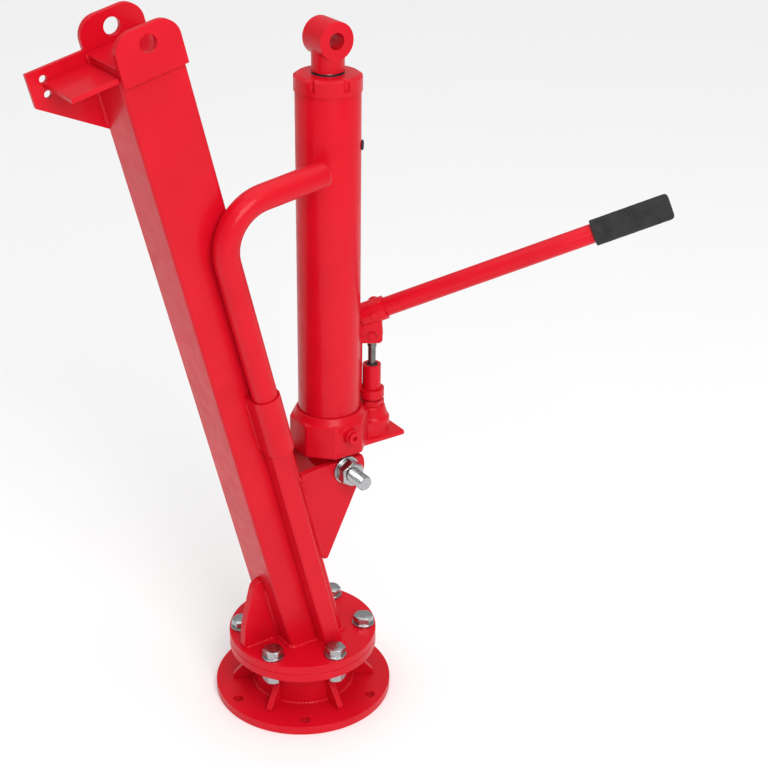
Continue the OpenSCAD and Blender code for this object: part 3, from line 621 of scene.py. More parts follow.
class Finish:
    """A small helper that builds one procedural material on Object coordinates."""

    def __init__(self, name):
        self.material = bpy.data.materials.new(name)
        self.material.use_nodes = True
        self.nodes = self.material.node_tree.nodes
        self.links = self.material.node_tree.links
        self.shader = self.nodes["Principled BSDF"]
        self.place = self.nodes.new("ShaderNodeTexCoord").outputs["Object"]

    def set(self, **values):
        """Sets fixed values on the shader's own sockets."""
        for name, value in values.items():
            self.shader.inputs[name.replace("_", " ")].default_value = value

    def noise(self, scale, detail=2.0, rough=0.5, stretch=(1.0, 1.0, 1.0)):
        """Cloudy noise of the given scale, stretched along an axis by a factor."""
        vector = self.place
        if stretch != (1.0, 1.0, 1.0):
            mapping = self.nodes.new("ShaderNodeMapping")
            mapping.inputs["Scale"].default_value = stretch
            self.links.new(vector, mapping.inputs["Vector"])
            vector = mapping.outputs["Vector"]
        node = self.nodes.new("ShaderNodeTexNoise")
        node.inputs["Scale"].default_value = scale
        node.inputs["Detail"].default_value = detail
        node.inputs["Roughness"].default_value = rough
        self.links.new(vector, node.inputs["Vector"])
        return node.outputs["Fac"]

    def cells(self, scale):
        """Distance to the nearest of many scattered points."""
        node = self.nodes.new("ShaderNodeTexVoronoi")
        node.inputs["Scale"].default_value = scale
        self.links.new(self.place, node.inputs["Vector"])
        return node.outputs["Distance"]

    def ramp(self, value, low, high, out_low, out_high):
        """A straight-line change of range, held at its ends."""
        node = self.nodes.new("ShaderNodeMapRange")
        for name, number in (("From Min", low), ("From Max", high), ("To Min", out_low),
                             ("To Max", out_high)):
            node.inputs[name].default_value = number
        self.links.new(value, node.inputs["Value"])
        return node.outputs["Result"]

    def blend_colours(self, factor, first, second):
        """A mix of two colours."""
        node = self.nodes.new("ShaderNodeMix")
        node.data_type = "RGBA"
        for socket, colour in (("A", first), ("B", second)):
            place = next(s for s in node.inputs if s.name == socket and s.type == "RGBA")
            if isinstance(colour, bpy.types.NodeSocket):
                self.links.new(colour, place)
            else:
                place.default_value = (*colour, 1.0)
        self.links.new(factor, node.inputs["Factor"])
        return next(s for s in node.outputs if s.type == "RGBA")

    def colour(self, socket):
        """Colours the surface."""
        self.links.new(socket, self.shader.inputs["Base Color"])

    def roughness(self, socket):
        """Varies the surface's roughness."""
        self.links.new(socket, self.shader.inputs["Roughness"])

    def bump(self, height, strength, distance, coat=False, under=None):
        """Raises the surface by a height pattern, on top of an earlier bump if one is given."""
        node = self.nodes.new("ShaderNodeBump")
        node.inputs["Strength"].default_value = strength
        node.inputs["Distance"].default_value = distance
        self.links.new(height, node.inputs["Height"])
        if under is not None:
            self.links.new(under, node.inputs["Normal"])
        self.links.new(node.outputs["Normal"], self.shader.inputs["Normal"])
        if coat:
            self.links.new(node.outputs["Normal"], self.shader.inputs["Coat Normal"])
        return node.outputs["Normal"]


def enamel(name, colours, grain_scale, grain_strength):
    """Glossy red enamel: two close tones in soft clouds, orange peel, and a thin clear coat."""
    paint = Finish(name)
    cloud = paint.ramp(paint.noise(14.0, 3.0), 0.35, 0.65, 0.0, 1.0)
    paint.colour(paint.blend_colours(cloud, colours[0], colours[1]))
    paint.roughness(paint.ramp(paint.noise(55.0, 3.0), 0.3, 0.7, 0.30, 0.42))
    paint.set(Specular_IOR_Level=0.14, Coat_Weight=0.12, Coat_Roughness=0.06, Coat_IOR=1.45)
    peel = paint.bump(paint.noise(420.0, 2.0), 0.10, 0.00035, coat=True)
    paint.bump(paint.noise(grain_scale, 4.0, 0.6), grain_strength, 0.0008, coat=True, under=peel)
    return paint.material


def plated(name, colour, shade, rough, streak):
    """Plated or machined metal: cloudy tone, fine streaks round the part, uneven roughness."""
    metal = Finish(name)
    cloud = metal.ramp(metal.noise(160.0, 4.0), 0.3, 0.7, 0.0, 1.0)
    metal.colour(metal.blend_colours(cloud, colour, shade))
    metal.roughness(metal.ramp(metal.noise(240.0, 3.0), 0.3, 0.7, rough[0], rough[1]))
    metal.set(Metallic=1.0)
    metal.bump(metal.noise(300.0, 3.0, 0.6, stretch=(1.0, 1.0, 12.0)), streak, 0.0002)
    return metal.material


def soft_black(name, colour, pore_scale, strength, rough):
    """Rubber or foam: near black with grey dust clouds, cells for pores and a fine grain."""
    skin = Finish(name)
    cloud = skin.ramp(skin.noise(70.0, 5.0), 0.35, 0.75, 0.0, 1.0)
    skin.colour(skin.blend_colours(cloud, colour, tuple(1.7 * c for c in colour)))
    skin.roughness(skin.ramp(skin.noise(300.0, 2.0), 0.3, 0.7, rough[0], rough[1]))
    skin.set(Specular_IOR_Level=0.3)
    pores = skin.bump(skin.ramp(skin.cells(pore_scale), 0.0, 0.45, 0.0, 1.0), strength, 0.0004)
    skin.bump(skin.noise(pore_scale * 1.7, 3.0), strength * 0.6, 0.0002, under=pores)
    return skin.material


def make_finishes(look):
    """Makes the material of each slot, and the two paints of cast and welded parts."""
    tones = (tuple(look.enamel), tuple(look.enamel_shade))
    zinc, steel, foam = tuple(look.zinc), tuple(look.steel), tuple(look.foam)
    FINISHES["red_paint"] = enamel("gloss_enamel", tones, 30.0, 0.03)
    FINISHES["cast_paint"] = enamel("enamel_on_casting", tones, 260.0, 0.30)
    FINISHES["zinc_plate"] = plated("zinc_plating", zinc, tuple(c * 0.82 for c in zinc),
                                    (0.20, 0.36), 0.12)
    FINISHES["bare_steel"] = plated("oiled_steel", steel, tuple(c * 0.7 for c in steel),
                                    (0.28, 0.46), 0.16)
    FINISHES["ram_chrome"] = plated("hard_chrome", (0.62, 0.63, 0.64), (0.55, 0.56, 0.57),
                                    (0.07, 0.14), 0.03)
    FINISHES["bush_bronze"] = plated("bearing_bronze", (0.46, 0.27, 0.10), (0.36, 0.2, 0.07),
                                     (0.3, 0.45), 0.1)
    FINISHES["black_rubber"] = soft_black("black_rubber", (0.020, 0.020, 0.021), 900.0, 0.12,
                                          (0.5, 0.7))
    FINISHES["grip_foam"] = soft_black("grip_foam", foam, 1500.0, 0.5, (0.78, 0.95))


# ---------------------------------------------------------------------------
# Operators: one for each group of pieces
# ---------------------------------------------------------------------------


class JACK_OT_finishes(bpy.types.Operator):
    """Make the procedural materials"""

    bl_idname = "jack.finishes"
    bl_label = "Finishes"
    bl_options = {"REGISTER", "UNDO"}

    def execute(self, context):
        """Makes every material from the colours in the settings."""
        make_finishes(context.scene.finish_look)
        return {"FINISHED"}


class JACK_OT_foot(bpy.types.Operator):
    """Build the base, the turntable and the column's flange"""

    bl_idname = "jack.foot"
    bl_label = "Foot"
    bl_options = {"REGISTER", "UNDO"}

    def execute(self, context):
        """Rounds the plates' edges, and makes the weld beads round the pedestal."""
        look = context.scene.column_look
        for node in ("base_plate", "base_gussets", "turntable", "mast_flange"):
            rounded_plate(node, look.edge * 1.4)
        rounded_plate("pedestal", look.edge)
        radius, floor = high("pedestal")[0], high("base_plate")[2]
        ring = np.column_stack([circle_section(radius, 200), np.full(200, floor)])
        bead = weld_grid(ring, look.weld, closed=True, pitch=0.005)
        surface("weld_pedestal", [bead], "base", FINISHES["red_paint"])
        return {"FINISHED"}


class JACK_OT_bearing(bpy.types.Operator):
    """Build the thrust bearing and the kingpin"""

    bl_idname = "jack.bearing"
    bl_label = "Bearing and Kingpin"
    bl_options = {"REGISTER", "UNDO"}

    def execute(self, context):
        """Finishes the bearing's CAD nodes, and makes the nut and the rubber seal."""
        keep_node("kingpin_bush", "bearing_lower_race", "bearing_upper_race", "bearing_balls",
                  "kingpin_washer", "kingpin_cotter")
        rounded_plate("kingpin", 0.0006)
        lo, hi = low("kingpin_nut"), high("kingpin_nut")
        stand_in("kingpin_nut", [(hex_head(hi[1] - lo[1], hi[2] - lo[2], (0, 0, lo[2]), Z_UP,
                                           pin_radius("kingpin") + FIT, both_ends=True),
                                  False, True)])
        lo, hi = low("dust_seal"), high("dust_seal")
        seal_width, depth = 0.006, hi[2] - lo[2]
        bulge = circle_section(0.5, 60) * [seal_width, depth]
        bulge += [hi[0] - seal_width / 2, depth / 2]
        stand_in("dust_seal", [(turned(bulge, (0, 0, lo[2]), Z_UP, 128), True, True)])
        return {"FINISHED"}


def pin_radius(node):
    """Radius of a pin about the turning axis, from the points near its lower end."""
    points = node_points(node)
    foot = points[points[:, 2] < points[:, 2].min() + 1e-5]
    return np.linalg.norm(foot[:, :2], axis=1).max()


class JACK_OT_flange_bolts(bpy.types.Operator):
    """Build the flange's bolts, washers and nuts"""

    bl_idname = "jack.flange_bolts"
    bl_label = "Flange Bolts"
    bl_options = {"REGISTER", "UNDO"}

    def execute(self, context):
        """Six sets: hexagon heads cut by a cone, turned washers, and threads through the nuts."""
        circle = context.scene.column_look.bolt_circle / 2
        pitch, depth = 0.002, 0.0011
        washer_low, washer_high = low("flange_washers")[2], high("flange_washers")[2]
        nut_low, nut_high = low("flange_nuts")[2], high("flange_nuts")[2]
        head_high, tip = high("flange_bolts")[2], low("flange_bolts")[2]
        washer_r = high("flange_washers")[1] - circle
        flats = 2 * (high("flange_nuts")[1] - circle) * math.cos(THIRTY)
        shank = flats / 3
        angles = THIRTY + np.radians(60) * np.arange(6)
        places = circle * np.column_stack([np.cos(angles), np.sin(angles)])
        heads, washers, nuts = [], [], []
        profile = washer_profile(shank + SLIP, washer_r, washer_high - washer_low)
        for place, angle in zip(places, angles):
            turn = angle + math.radians(120)
            heads.append((hex_head(flats, head_high - washer_high, (*place, washer_high), Z_UP,
                                   turn=turn), False, True))
            heads.append((threaded_rod(shank, washer_high - tip, pitch, depth, (*place, tip),
                                       Z_UP), False, True))
            washers.append((turned(profile, (*place, washer_low), Z_UP, 48), False, True))
            nuts.append((hex_head(flats, nut_high - nut_low, (*place, nut_low), Z_UP,
                                  shank + FIT, turn=turn, both_ends=True), False, True))
        stand_in("flange_bolts", heads)
        stand_in("flange_washers", washers)
        stand_in("flange_nuts", nuts)
        return {"FINISHED"}


class JACK_OT_column(bpy.types.Operator):
    """Build the column tube, its cap, the handle's post and the sleeve"""

    bl_idname = "jack.column"
    bl_label = "Column"
    bl_options = {"REGISTER", "UNDO"}

    def execute(self, context):
        """Rounded square tubes: an outline carried up the leaning column, cut level at its foot."""
        scene = context.scene
        look = scene.column_look
        lo, hi = box_in("mast_tube", COLUMN)
        width = hi[1] - lo[1]
        outer = square_section(width, look.corner)
        inner = square_section(width - 2 * look.wall, look.corner - look.wall + 0.001)
        rows = hollow_rows(outer, inner, -outer[:, 0] * math.tan(LEAN), hi[2])
        stand_in("mast_tube", [(on_column(rows), True, True)], "column_tube")
        lo, hi = box_in("mast_cap", COLUMN)
        edge = 0.0009
        inset = 1 - 2 * edge / width
        levels = [(POLE, lo[2]), (inset, lo[2]), (1.0, lo[2] + edge), (1.0, hi[2] - edge),
                  (inset, hi[2]), (POLE, hi[2])]
        slab = [np.column_stack([outer * scale, np.full(len(outer), level)])
                for scale, level in levels]
        stand_in("mast_cap", [(on_column(np.stack(slab)), False, True)], "column_cap")
        self.post(look.small_corner, look.post_wall)
        rounded_plate("handle_sleeve", look.edge * 1.5, 3, "handle_sleeve_saddle")
        return {"FINISHED"}

    def post(self, corner, wall):
        """A square tube on the column's face, cut level at its foot."""
        lo, hi = box_in("rail_post", COLUMN)
        centre = (lo + hi)[:2] / 2
        width = hi[0] - lo[0]
        outer = square_section(width, corner)
        inner = square_section(width - 2 * wall, corner - wall)
        foot = -(outer[:, 0] + centre[0]) * math.tan(LEAN)
        shape = hollow_rows(outer, inner, foot, hi[2])
        shape[..., :2] += centre
        stand_in("rail_post", [(on_column(shape), True, True)], "handle_post")


class JACK_OT_column_plates(bpy.types.Operator):
    """Build the plates welded to the column"""

    bl_idname = "jack.column_plates"
    bl_label = "Column Plates"
    bl_options = {"REGISTER", "UNDO"}

    def execute(self, context):
        """Rounds the edges of the rib, the ears and the winch's plates."""
        scene = context.scene
        edge = scene.column_look.edge
        for node in ("foot_rib", "jack_ear_front", "jack_ear_rear", "boom_ear_front",
                     "boom_ear_rear", "winch_plate", "winch_stiffener"):
            rounded_plate(node, edge)
        return {"FINISHED"}


class JACK_OT_welds(bpy.types.Operator):
    """Build the weld beads on the column"""

    bl_idname = "jack.welds"
    bl_label = "Welds"
    bl_options = {"REGISTER", "UNDO"}

    def execute(self, context):
        """Beads at the column's foot, on the plates and round the small tubes."""
        look = context.scene.column_look
        half = box_in("mast_tube", COLUMN)[1][1]
        plates = self.ears(look.weld, half) + self.sleeve(look.weld, half) + self.head(look.weld)
        for name, grids in (("welds_foot", self.foot(look, half)), ("welds_plates", plates)):
            surface(name, grids, "column", FINISHES["red_paint"])
        return {"FINISHED"}

    def foot(self, look, half):
        """Beads round the column and its post on the flange, and along the rib."""
        lean = math.tan(LEAN)
        foot = square_section(2 * half, look.corner, 5)
        lo, hi = box_in("rail_post", COLUMN)
        post = np.array([[lo[0], -half], [lo[0], lo[1]], [hi[0], lo[1]], [hi[0], -half]])
        foot, post = (np.column_stack([line, -line[:, 0] * lean]) for line in (foot, post))
        grids = [weld_grid(on_column(foot), look.weld, True),
                 weld_grid(on_column(post), look.weld * 0.7)]
        lo, hi = low("foot_rib"), high("foot_rib")
        rib_up = (hi[2] - FLANGE_TOP - 0.006) / math.cos(LEAN)
        for side in (lo[1], hi[1]):
            toe, heel = lo[0] + 0.002, -half / math.cos(LEAN) - 0.003
            grids.append(weld_grid([(toe, side, FLANGE_TOP), (heel, side, FLANGE_TOP)],
                                   look.weld * 0.8, seed=side * 90))
            grids.append(seam((-half, side), 0.012, rib_up, look.weld * 0.8, side * 50))
        return grids

    def ears(self, bead, half):
        """Beads up both sides of the two plates that hold the jack."""
        inset = 0.0022
        grids = []
        for node in ("jack_ear_front", "jack_ear_rear"):
            lo, hi = box_in(node, COLUMN)
            outside, inside = (lo[1], hi[1]) if node.endswith("front") else (hi[1], lo[1])
            bottom, top = ((level - FLANGE_TOP - half * math.sin(LEAN)) / math.cos(LEAN)
                           for level in (low(node)[2], high(node)[2]))
            for place, size in (((half - inset, outside - inset * np.sign(outside)), 0.9),
                                ((half, inside), 0.7)):
                grids.append(seam(place, bottom + 0.002, top - 0.004, bead * size, outside * 70))
        return grids

    def sleeve(self, bead, half):
        """Beads up both sides of the handle's saddle."""
        lo, hi = box_in("handle_sleeve", COLUMN)
        return [seam((across, -half - 0.0006), lo[2] + 0.003, hi[2] - 0.003, bead * 0.62,
                     across * 300) for across in (lo[0] + 0.001, hi[0] - 0.001)]

    def head(self, bead):
        """Beads under the boom's plates and beside the winch's plate."""
        grids = []
        for node in ("boom_ear_front", "boom_ear_rear"):
            lo, hi = box_in(node, COLUMN)
            face = hi[1] if node.endswith("front") else lo[1]
            grids.append(weld_grid(on_column([(lo[0] + 0.004, face, lo[2]),
                                              (hi[0] - 0.004, face, lo[2])]), bead * 0.9))
        lo, hi = box_in("winch_plate", COLUMN)
        return grids + [seam((hi[0], side), lo[2] + 0.004, hi[2] - 0.004, bead * 0.75)
                        for side in (lo[1], hi[1])]


class JACK_OT_swing_handle(bpy.types.Operator):
    """Build the bent handle that turns the column"""

    bl_idname = "jack.swing_handle"
    bl_label = "Swing Handle"
    bl_options = {"REGISTER", "UNDO"}

    bend: bpy.props.FloatProperty(name="Bend", description="Angle of the bend",
                                  default=math.radians(94.7), subtype="ANGLE")
    bend_radius: length_property("Bend radius", "Centre-line radius of the bend", 0.060)
    arm_length: length_property("Arm", "Length of the straight arm", 0.082)

    def execute(self, context):
        """One bent tube: a circle carried up a leg, round a bend and along the arm to its dome."""
        lo, hi = box_in("swing_handle", COLUMN)
        radius = (hi[1] - lo[1]) / 2 - SWELL
        side = (lo[1] + hi[1]) / 2
        across = lo[0] + radius + SWELL
        bend, bend_radius, arm_length = self.bend, self.bend_radius, self.arm_length
        leg_top = hi[2] - radius - SWELL - bend_radius
        turn = np.linspace(0, bend, 40)[1:]
        leg = np.column_stack([np.full(20, across), np.linspace(lo[2], leg_top, 20)])
        arc = np.column_stack([across + bend_radius * (1 - np.cos(turn)),
                               leg_top + bend_radius * np.sin(turn)])
        out = np.array([math.sin(bend), math.cos(bend)])
        arm = arc[-1] + out * np.linspace(0, arm_length, 16)[1:, None]
        quarter, dome, vent_r = np.linspace(0, np.pi / 2, 9)[1:], 0.0028, 0.002
        end = arm[-1] + out * (dome * np.sin(quarter))[:, None]
        vent = end[-1:] + out * np.array([[-0.0002], [-0.004]])
        bar = np.concatenate([leg, arc, arm])
        flat = np.concatenate([leg[:1], bar, end, vent, vent[-1:]])
        sizes = np.concatenate([[POLE, radius - 0.0008], np.full(len(bar) - 1, radius),
                                radius - dome + dome * np.cos(quarter) - SWELL,
                                [vent_r + SWELL, vent_r - SWELL, POLE]])
        sizes[-4] = vent_r + 4 * SWELL
        path = np.column_stack([flat[:, 0], np.full(len(flat), side), flat[:, 1]])
        tangent = np.gradient(bar, axis=0)
        tangent /= np.linalg.norm(tangent, axis=1, keepdims=True)
        tail = np.repeat(out[None], len(flat) - len(tangent) - 1, axis=0)
        tangent = np.concatenate([tangent[:1], tangent, tail])
        normal = np.column_stack([tangent[:, 1], np.zeros(len(flat)), -tangent[:, 0]])
        second = np.broadcast_to(ACROSS_Y, normal.shape)
        grid = swept(sizes, path, (normal, second), 56)
        stand_in("swing_handle", [(on_column(grid), False, True)], "swing_handle_tube",
                 also=("swing_handle_cap",))
        return {"FINISHED"}


class JACK_OT_pivot(bpy.types.Operator):
    """Build the jack's pivot bolt, its nut, washers and spacers"""

    bl_idname = "jack.pivot"
    bl_label = "Pivot Bolt"
    bl_options = {"REGISTER", "UNDO"}

    def execute(self, context):
        """A hexagon head, a plain shank, and a screw thread whose radius is a triangle wave."""
        look = context.scene.jack_look
        bolt_lo, bolt_hi = low("pivot_bolt"), high("pivot_bolt")
        nut_lo, nut_hi = low("pivot_nut"), high("pivot_nut")
        washer_lo, washer_hi = low("pivot_washers"), high("pivot_washers")
        forward = -ACROSS_Y
        flats = min(nut_hi[2] - nut_lo[2], nut_hi[0] - nut_lo[0])
        radius, plain = flats / 3, 0.004
        start = PIVOT * np.array([1, 0, 1])
        rear = start + ACROSS_Y * washer_hi[1]
        head = hex_head(flats, bolt_hi[1] - washer_hi[1], rear, -forward, turn=0.35)
        shank_end = nut_hi[1] + plain
        reach = washer_hi[1] - shank_end
        shank = turned([(POLE, 0), (radius, 0), (radius, reach), (POLE, reach)], rear, forward)
        thread = threaded_rod(radius, shank_end - bolt_lo[1], look.thread_pitch,
                              look.thread_depth, start + ACROSS_Y * bolt_lo[1], -forward, 64)
        stand_in("pivot_bolt", [(head, False, True), (shank, False, True),
                                (thread, False, True)], sharp=28)
        stand_in("pivot_nut", [(hex_head(flats, nut_hi[1] - nut_lo[1],
                                         start + ACROSS_Y * nut_lo[1], -forward, radius + FIT,
                                         both_ends=True), False, True)])
        ear = high("jack_ear_rear")[1]
        profile = washer_profile(radius + SLIP, (washer_hi[0] - washer_lo[0]) / 2,
                                 washer_hi[1] - ear)
        stand_in("pivot_washers", [(turned(profile, start + face * ear, face), False, True)
                                   for face in (-forward, forward)])
        keep_node("pivot_spacers")
        return {"FINISHED"}


class JACK_OT_casting(bpy.types.Operator):
    """Build the jack's cast foot, the release valve and the inner parts"""

    bl_idname = "jack.casting"
    bl_label = "Casting"
    bl_options = {"REGISTER", "UNDO"}

    def execute(self, context):
        """A casting with eased edges on an even grid, and its valve and plugs."""
        look = context.scene.jack_look
        cast_shape("jack_casting", look.cast_grid, look.cast_rounds, "jack_foot_casting",
                   FINISHES["cast_paint"])
        rounded_plate("release_valve", EASE)
        keep_node("check_balls", "passage_plug", "pressure_cylinder")
        return {"FINISHED"}


class JACK_OT_cylinder(bpy.types.Operator):
    """Build the reservoir tube, its head nut, the wiper and the filler plug"""

    bl_idname = "jack.cylinder"
    bl_label = "Cylinder"
    bl_options = {"REGISTER", "UNDO"}

    def execute(self, context):
        """Turned profiles carried round the jack's axis."""
        wall = 0.003
        lo, hi = box_in("reservoir_tube", JACK)
        turned_in("reservoir_tube", tube_profile(hi[0], wall, hi[2] - lo[2]),
                  JACK_AXIS + Z_UP * lo[2], Z_UP, 128, "jack_reservoir_tube")
        rounded_plate("head_nut", 0.0008, name="jack_head_nut")
        lo, hi = box_in("ram_wiper", JACK)
        inner, tall = box_in("ram", JACK)[1][0] + 0.0002, hi[2] - lo[2]
        lip = rounded_profile([(hi[0], 0), (hi[0], tall - 0.001), (inner + 0.0016, tall),
                               (inner, tall - 0.0006), (inner, 0), (hi[0], 0)], 0.0008)
        turned_in("ram_wiper", lip, JACK_AXIS + Z_UP * lo[2], Z_UP, 96)
        self.filler_plug(0.0044)
        return {"FINISHED"}

    def filler_plug(self, shank):
        """A button on a round shank, with a shallow round dimple in its face."""
        points = node_points("filler_plug") - JACK_AXIS
        reach, height = points @ LEVER_OUT, points[:, 2]
        base, tall = reach.min(), np.ptp(reach)
        button, level = np.ptp(height) / 2, (height.min() + height.max()) / 2
        lower, upper, dimple = tall - 0.0028, tall - 0.0014, 0.0009
        plug = rounded_profile([(POLE, 0), (shank, 0), (shank, lower), (button, lower + 0.0002),
                                (button, upper), (button * 0.72, tall), (shank / 2, tall),
                                (0.0014, tall - dimple), (POLE, tall - dimple)], 0.0009)
        turned_in("filler_plug", plug, JACK_AXIS + LEVER_OUT * base + Z_UP * level, LEVER_OUT, 48)


class JACK_OT_ram(bpy.types.Operator):
    """Build the ram, its eye, the piston and its seal"""

    bl_idname = "jack.ram"
    bl_label = "Ram"
    bl_options = {"REGISTER", "UNDO"}

    def execute(self, context):
        """The ram is a turned bar, and its eye is a casting bored through."""
        lo, hi = box_in("ram", JACK)
        radius, tall = hi[0], hi[2] - lo[2]
        profile = rounded_profile([(POLE, 0), (radius, 0), (radius, tall), (POLE, tall)], 0.001)
        turned_in("ram", profile, JACK_AXIS + Z_UP * lo[2], Z_UP, 96, "ram_bar")
        rounded_plate("ram_head", 0.0015, 3, "ram_eye_head")
        keep_node("ram_piston", "piston_seal")
        return {"FINISHED"}


class JACK_OT_pump(bpy.types.Operator):
    """Build the hand pump: barrel, gland, plunger, pins and clips"""

    bl_idname = "jack.pump"
    bl_label = "Pump"
    bl_options = {"REGISTER", "UNDO"}

    def execute(self, context):
        """Turned barrel and gland, an eased plunger, and turned pins with chamfered ends."""
        rounded_plate("pump_barrel", 0.0006, name="pump_barrel_tube")
        lo, hi = box_in("pump_gland", PUMP)
        inner, tall, chamfer = 0.0053, hi[2] - lo[2], 0.0008
        lip = rounded_profile([(hi[0], 0), (hi[0], tall - 0.0014), (inner + 0.001, tall),
                               (inner, tall - 0.0005), (inner, 0), (hi[0], 0)], 0.0006)
        turned_in("pump_gland", lip, PUMP_AXIS + Z_UP * lo[2], Z_UP, 64)
        rounded_plate("plunger", 0.0006)
        for node in ("fulcrum_pin", "plunger_pin"):
            lo, hi = box_in(node, PUMP)
            radius, reach = (hi[2] - lo[2]) / 2, hi[1] - lo[1]
            centre = PUMP_AXIS + LEVER_OUT * (lo[0] + hi[0]) / 2 + Z_UP * (lo[2] + hi[2]) / 2
            profile = [(POLE, 0), (radius - chamfer, 0), (radius, chamfer),
                       (radius, reach - chamfer), (radius - chamfer, reach), (POLE, reach)]
            turned_in(node, profile, centre + LEVER_SIDE * lo[1], LEVER_SIDE, 48)
        keep_node("fulcrum_clips", "plunger_clips")
        return {"FINISHED"}


class JACK_OT_lever(bpy.types.Operator):
    """Build the pump's swivel link, the socket and the clamp screw"""

    bl_idname = "jack.lever"
    bl_label = "Lever"
    bl_options = {"REGISTER", "UNDO"}

    def execute(self, context):
        """Rounded plates and a hexagon screw head."""
        scene = context.scene
        edge = scene.column_look.edge
        rounded_plate("fulcrum_link", edge)
        rounded_plate("handle_socket", edge)
        lo, hi = box_in("clamp_screw", LEVER)
        centre = (lo + hi) / 2
        flats = min((hi[0] - lo[0]) * math.cos(THIRTY), hi[2] - lo[2])
        head, shank, lap = 0.006, 0.003, 0.001
        pitch, depth = 0.001, 0.0005
        length = hi[1] - lo[1] - head
        origin, x, y, z = LEVER
        seat = origin + x * centre[0] + z * centre[2] + y * (hi[1] - head)
        grids = [(hex_head(flats, head, seat, y, turn=0.2), False, True),
                 (threaded_rod(shank, length + lap, pitch, depth, seat - y * length, y),
                  False, True)]
        stand_in("clamp_screw", grids, sharp=28)
        return {"FINISHED"}


class JACK_OT_handle(bpy.types.Operator):
    """Build the pump handle and its foam grip"""

    bl_idname = "jack.handle"
    bl_label = "Pump Handle"
    bl_options = {"REGISTER", "UNDO"}

    def execute(self, context):
        """A turned tube, and a turned grip whose surface rises and falls in small waves."""
        origin, _, _, along = LEVER
        lo, hi = box_in("pump_handle", LEVER)
        radius = hi[1]
        turned_in("pump_handle", tube_profile(radius, TUBE_WALL, hi[2] - lo[2]),
                  origin + along * lo[2], along, 96, "pump_handle_tube")
        grip_lo, grip_hi = box_in("handle_grip", LEVER)
        outer, length = grip_hi[1] - 0.0002, grip_hi[2] - grip_lo[2]
        hole, bore, bore_end = 0.004, radius + 0.0001, hi[2] - grip_lo[2] + 0.0002
        profile = rounded_profile([(bore, bore_end), (bore, EASE), (radius + 0.0012, 0.0),
                                   (outer, 0.0), (outer, length), (hole, length),
                                   (hole, bore_end), (bore, bore_end)], 0.0085, 9)
        spacing, steps = 0.0016, 96
        fine = np.concatenate([
            a + (b - a) * np.linspace(0, 1, max(int(np.linalg.norm(b - a) / spacing), 1),
                                      endpoint=False)[:, None]
            for a, b in zip(profile[:-1], profile[1:])])
        grid = turned(fine, origin + along * grip_lo[2], along, steps)
        row = np.arange(len(fine))[:, None]
        column = np.arange(steps)[None, :] * 2 * np.pi / steps
        wave = (np.sin(row * 0.9 + 3 * column) + np.sin(row * 0.37 - 5 * column + 1.0)
                + np.sin(row * 1.7 + 8 * column + 2.0)) / 3
        outside = (fine[:, :1] > radius + TUBE_WALL).astype(float)[..., None]
        away = grid - (origin + ((grid - origin) @ along)[..., None] * along)
        away /= np.maximum(np.linalg.norm(away, axis=-1, keepdims=True), 1e-9)
        grid = grid + away * wave[..., None] * context.scene.jack_look.grip_ripple * outside
        stand_in("handle_grip", [(grid, False, True)], "foam_grip")
        return {"FINISHED"}


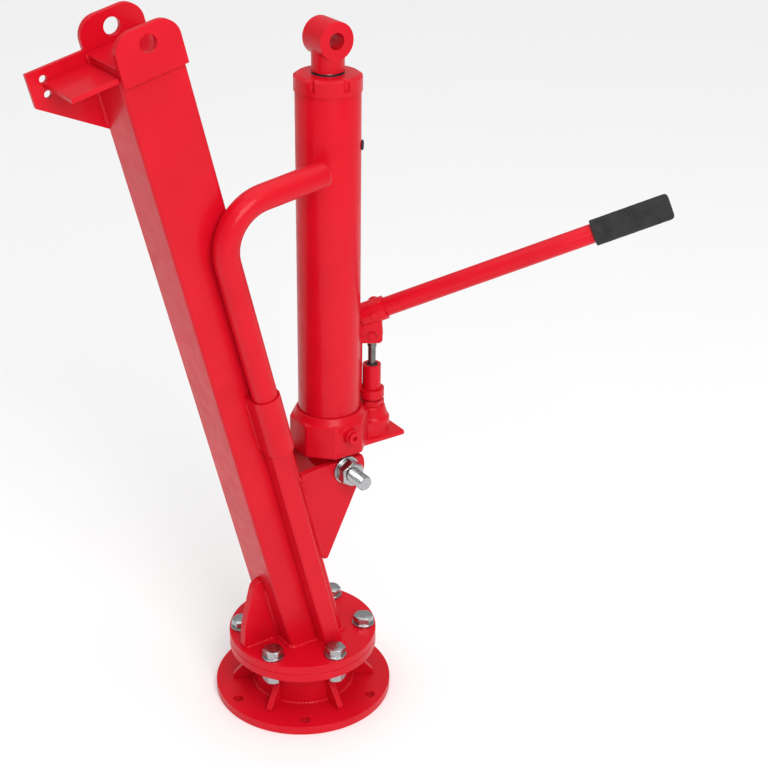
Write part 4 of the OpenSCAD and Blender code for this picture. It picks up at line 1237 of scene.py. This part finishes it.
class JACK_OT_stage(bpy.types.Operator):
    """Build the floor, the lights and the camera"""

    bl_idname = "jack.stage"
    bl_label = "Stage"
    bl_options = {"REGISTER", "UNDO"}

    def execute(self, context):
        """A pale floor under even white light with soft area lights, and the camera."""
        scene = context.scene
        look = scene.stage_look
        self.floor(tuple(scene.finish_look.floor))
        world = bpy.data.worlds.new("even_light")
        scene.world = world
        world.use_nodes = True
        back = world.node_tree.nodes["Background"]
        back.inputs["Color"].default_value = (1.0, 1.0, 1.0, 1.0)
        back.inputs["Strength"].default_value = look.sky
        self.area("key_light", (-0.6, -2.6, 2.2), (0.0, 0.0, 0.5), 1.5, look.key)
        self.overhead("top_light", look.top, look.softness)
        self.camera(look)
        scene.view_settings.view_transform = "Standard"
        return {"FINISHED"}

    def floor(self, tone):
        """A wide flat grid of squares in a plain pale tone."""
        reach, count = 14.0, 9
        side = np.linspace(-reach, reach, count)
        across, along = np.meshgrid(side, side, indexing="ij")
        points = np.stack([across, along, np.zeros_like(across)], axis=-1).reshape(-1, 3)
        mesh = bpy.data.meshes.new("floor")
        mesh.from_pydata(points.tolist(), [],
                         grid_faces(count, count, False, False)[:, ::-1].tolist())
        plain = Finish("pale_floor")
        plain.colour(plain.blend_colours(plain.noise(3.0, 2.0), tone,
                                         tuple(0.985 * c for c in tone)))
        plain.set(Roughness=0.7, Specular_IOR_Level=0.2)
        mesh.materials.append(plain.material)
        floor = bpy.data.objects.new("floor", mesh)
        bpy.context.scene.collection.objects.link(floor)

    def camera(self, look):
        """The camera: its axes from the azimuth, elevation and roll in the settings."""
        a, e, roll = look.azimuth, look.elevation, look.roll
        right = np.array([math.cos(a), math.sin(a), 0.0])
        up = np.array([-math.sin(a) * math.sin(e), math.cos(a) * math.sin(e), math.cos(e)])
        toward = np.array([math.sin(a) * math.cos(e), -math.cos(a) * math.cos(e), math.sin(e)])
        data = bpy.data.cameras.new("camera")
        data.lens = look.lens
        data.sensor_width = 36.0
        data.clip_end = 60.0
        camera = bpy.data.objects.new("camera", data)
        bpy.context.scene.collection.objects.link(camera)
        camera.matrix_world = placing(math.cos(roll) * right + math.sin(roll) * up,
                                      math.cos(roll) * up - math.sin(roll) * right,
                                      toward, look.place)
        bpy.context.scene.camera = camera

    def overhead(self, name, strength, softness):
        """A very soft light that shines straight down and reaches the whole floor evenly."""
        data = bpy.data.lights.new(name, "SUN")
        data.energy = strength
        data.angle = softness
        bpy.context.scene.collection.objects.link(bpy.data.objects.new(name, data))

    def area(self, name, place, target, size, power):
        """A square soft light that faces a point."""
        data = bpy.data.lights.new(name, "AREA")
        data.size = size
        data.energy = power
        light = bpy.data.objects.new(name, data)
        bpy.context.scene.collection.objects.link(light)
        toward = unit(np.subtract(place, target))
        light.matrix_world = placing(*side_axes(toward), toward, place)


OPERATORS = (JACK_OT_finishes, JACK_OT_foot, JACK_OT_bearing, JACK_OT_flange_bolts,
             JACK_OT_column, JACK_OT_column_plates, JACK_OT_welds, JACK_OT_swing_handle,
             JACK_OT_pivot, JACK_OT_casting, JACK_OT_cylinder, JACK_OT_ram, JACK_OT_pump,
             JACK_OT_lever, JACK_OT_handle, JACK_OT_stage)


class JACK_PT_panel(bpy.types.Panel):
    """Lists the operators in the sidebar"""

    bl_idname = "JACK_PT_panel"
    bl_label = "Crane Column with Jack"
    bl_space_type = "VIEW_3D"
    bl_region_type = "UI"
    bl_category = "Jack"

    def draw(self, context):
        """One button for each operator, and the settings below."""
        for operator in OPERATORS:
            self.layout.operator(operator.bl_idname)
        for name, group in SETTINGS.items():
            box = self.layout.box()
            for setting in group.__annotations__:
                box.prop(getattr(context.scene, name), setting)


CLASSES = (*SETTINGS.values(), *OPERATORS, JACK_PT_panel)


def register():
    """Registers the classes and hangs the settings on the scene."""
    for item in CLASSES:
        bpy.utils.register_class(item)
    for name, group in SETTINGS.items():
        setattr(bpy.types.Scene, name, bpy.props.PointerProperty(type=group))


def unregister():
    """Takes the settings and the classes away again."""
    for name in SETTINGS:
        delattr(bpy.types.Scene, name)
    for item in reversed(CLASSES):
        bpy.utils.unregister_class(item)


def main():
    """Runs every operator in order."""
    register()
    for operator in OPERATORS:
        group, name = operator.bl_idname.split(".")
        getattr(getattr(bpy.ops, group), name)()
    bpy.context.view_layer.update()


if __name__ == "__main__":
    main()
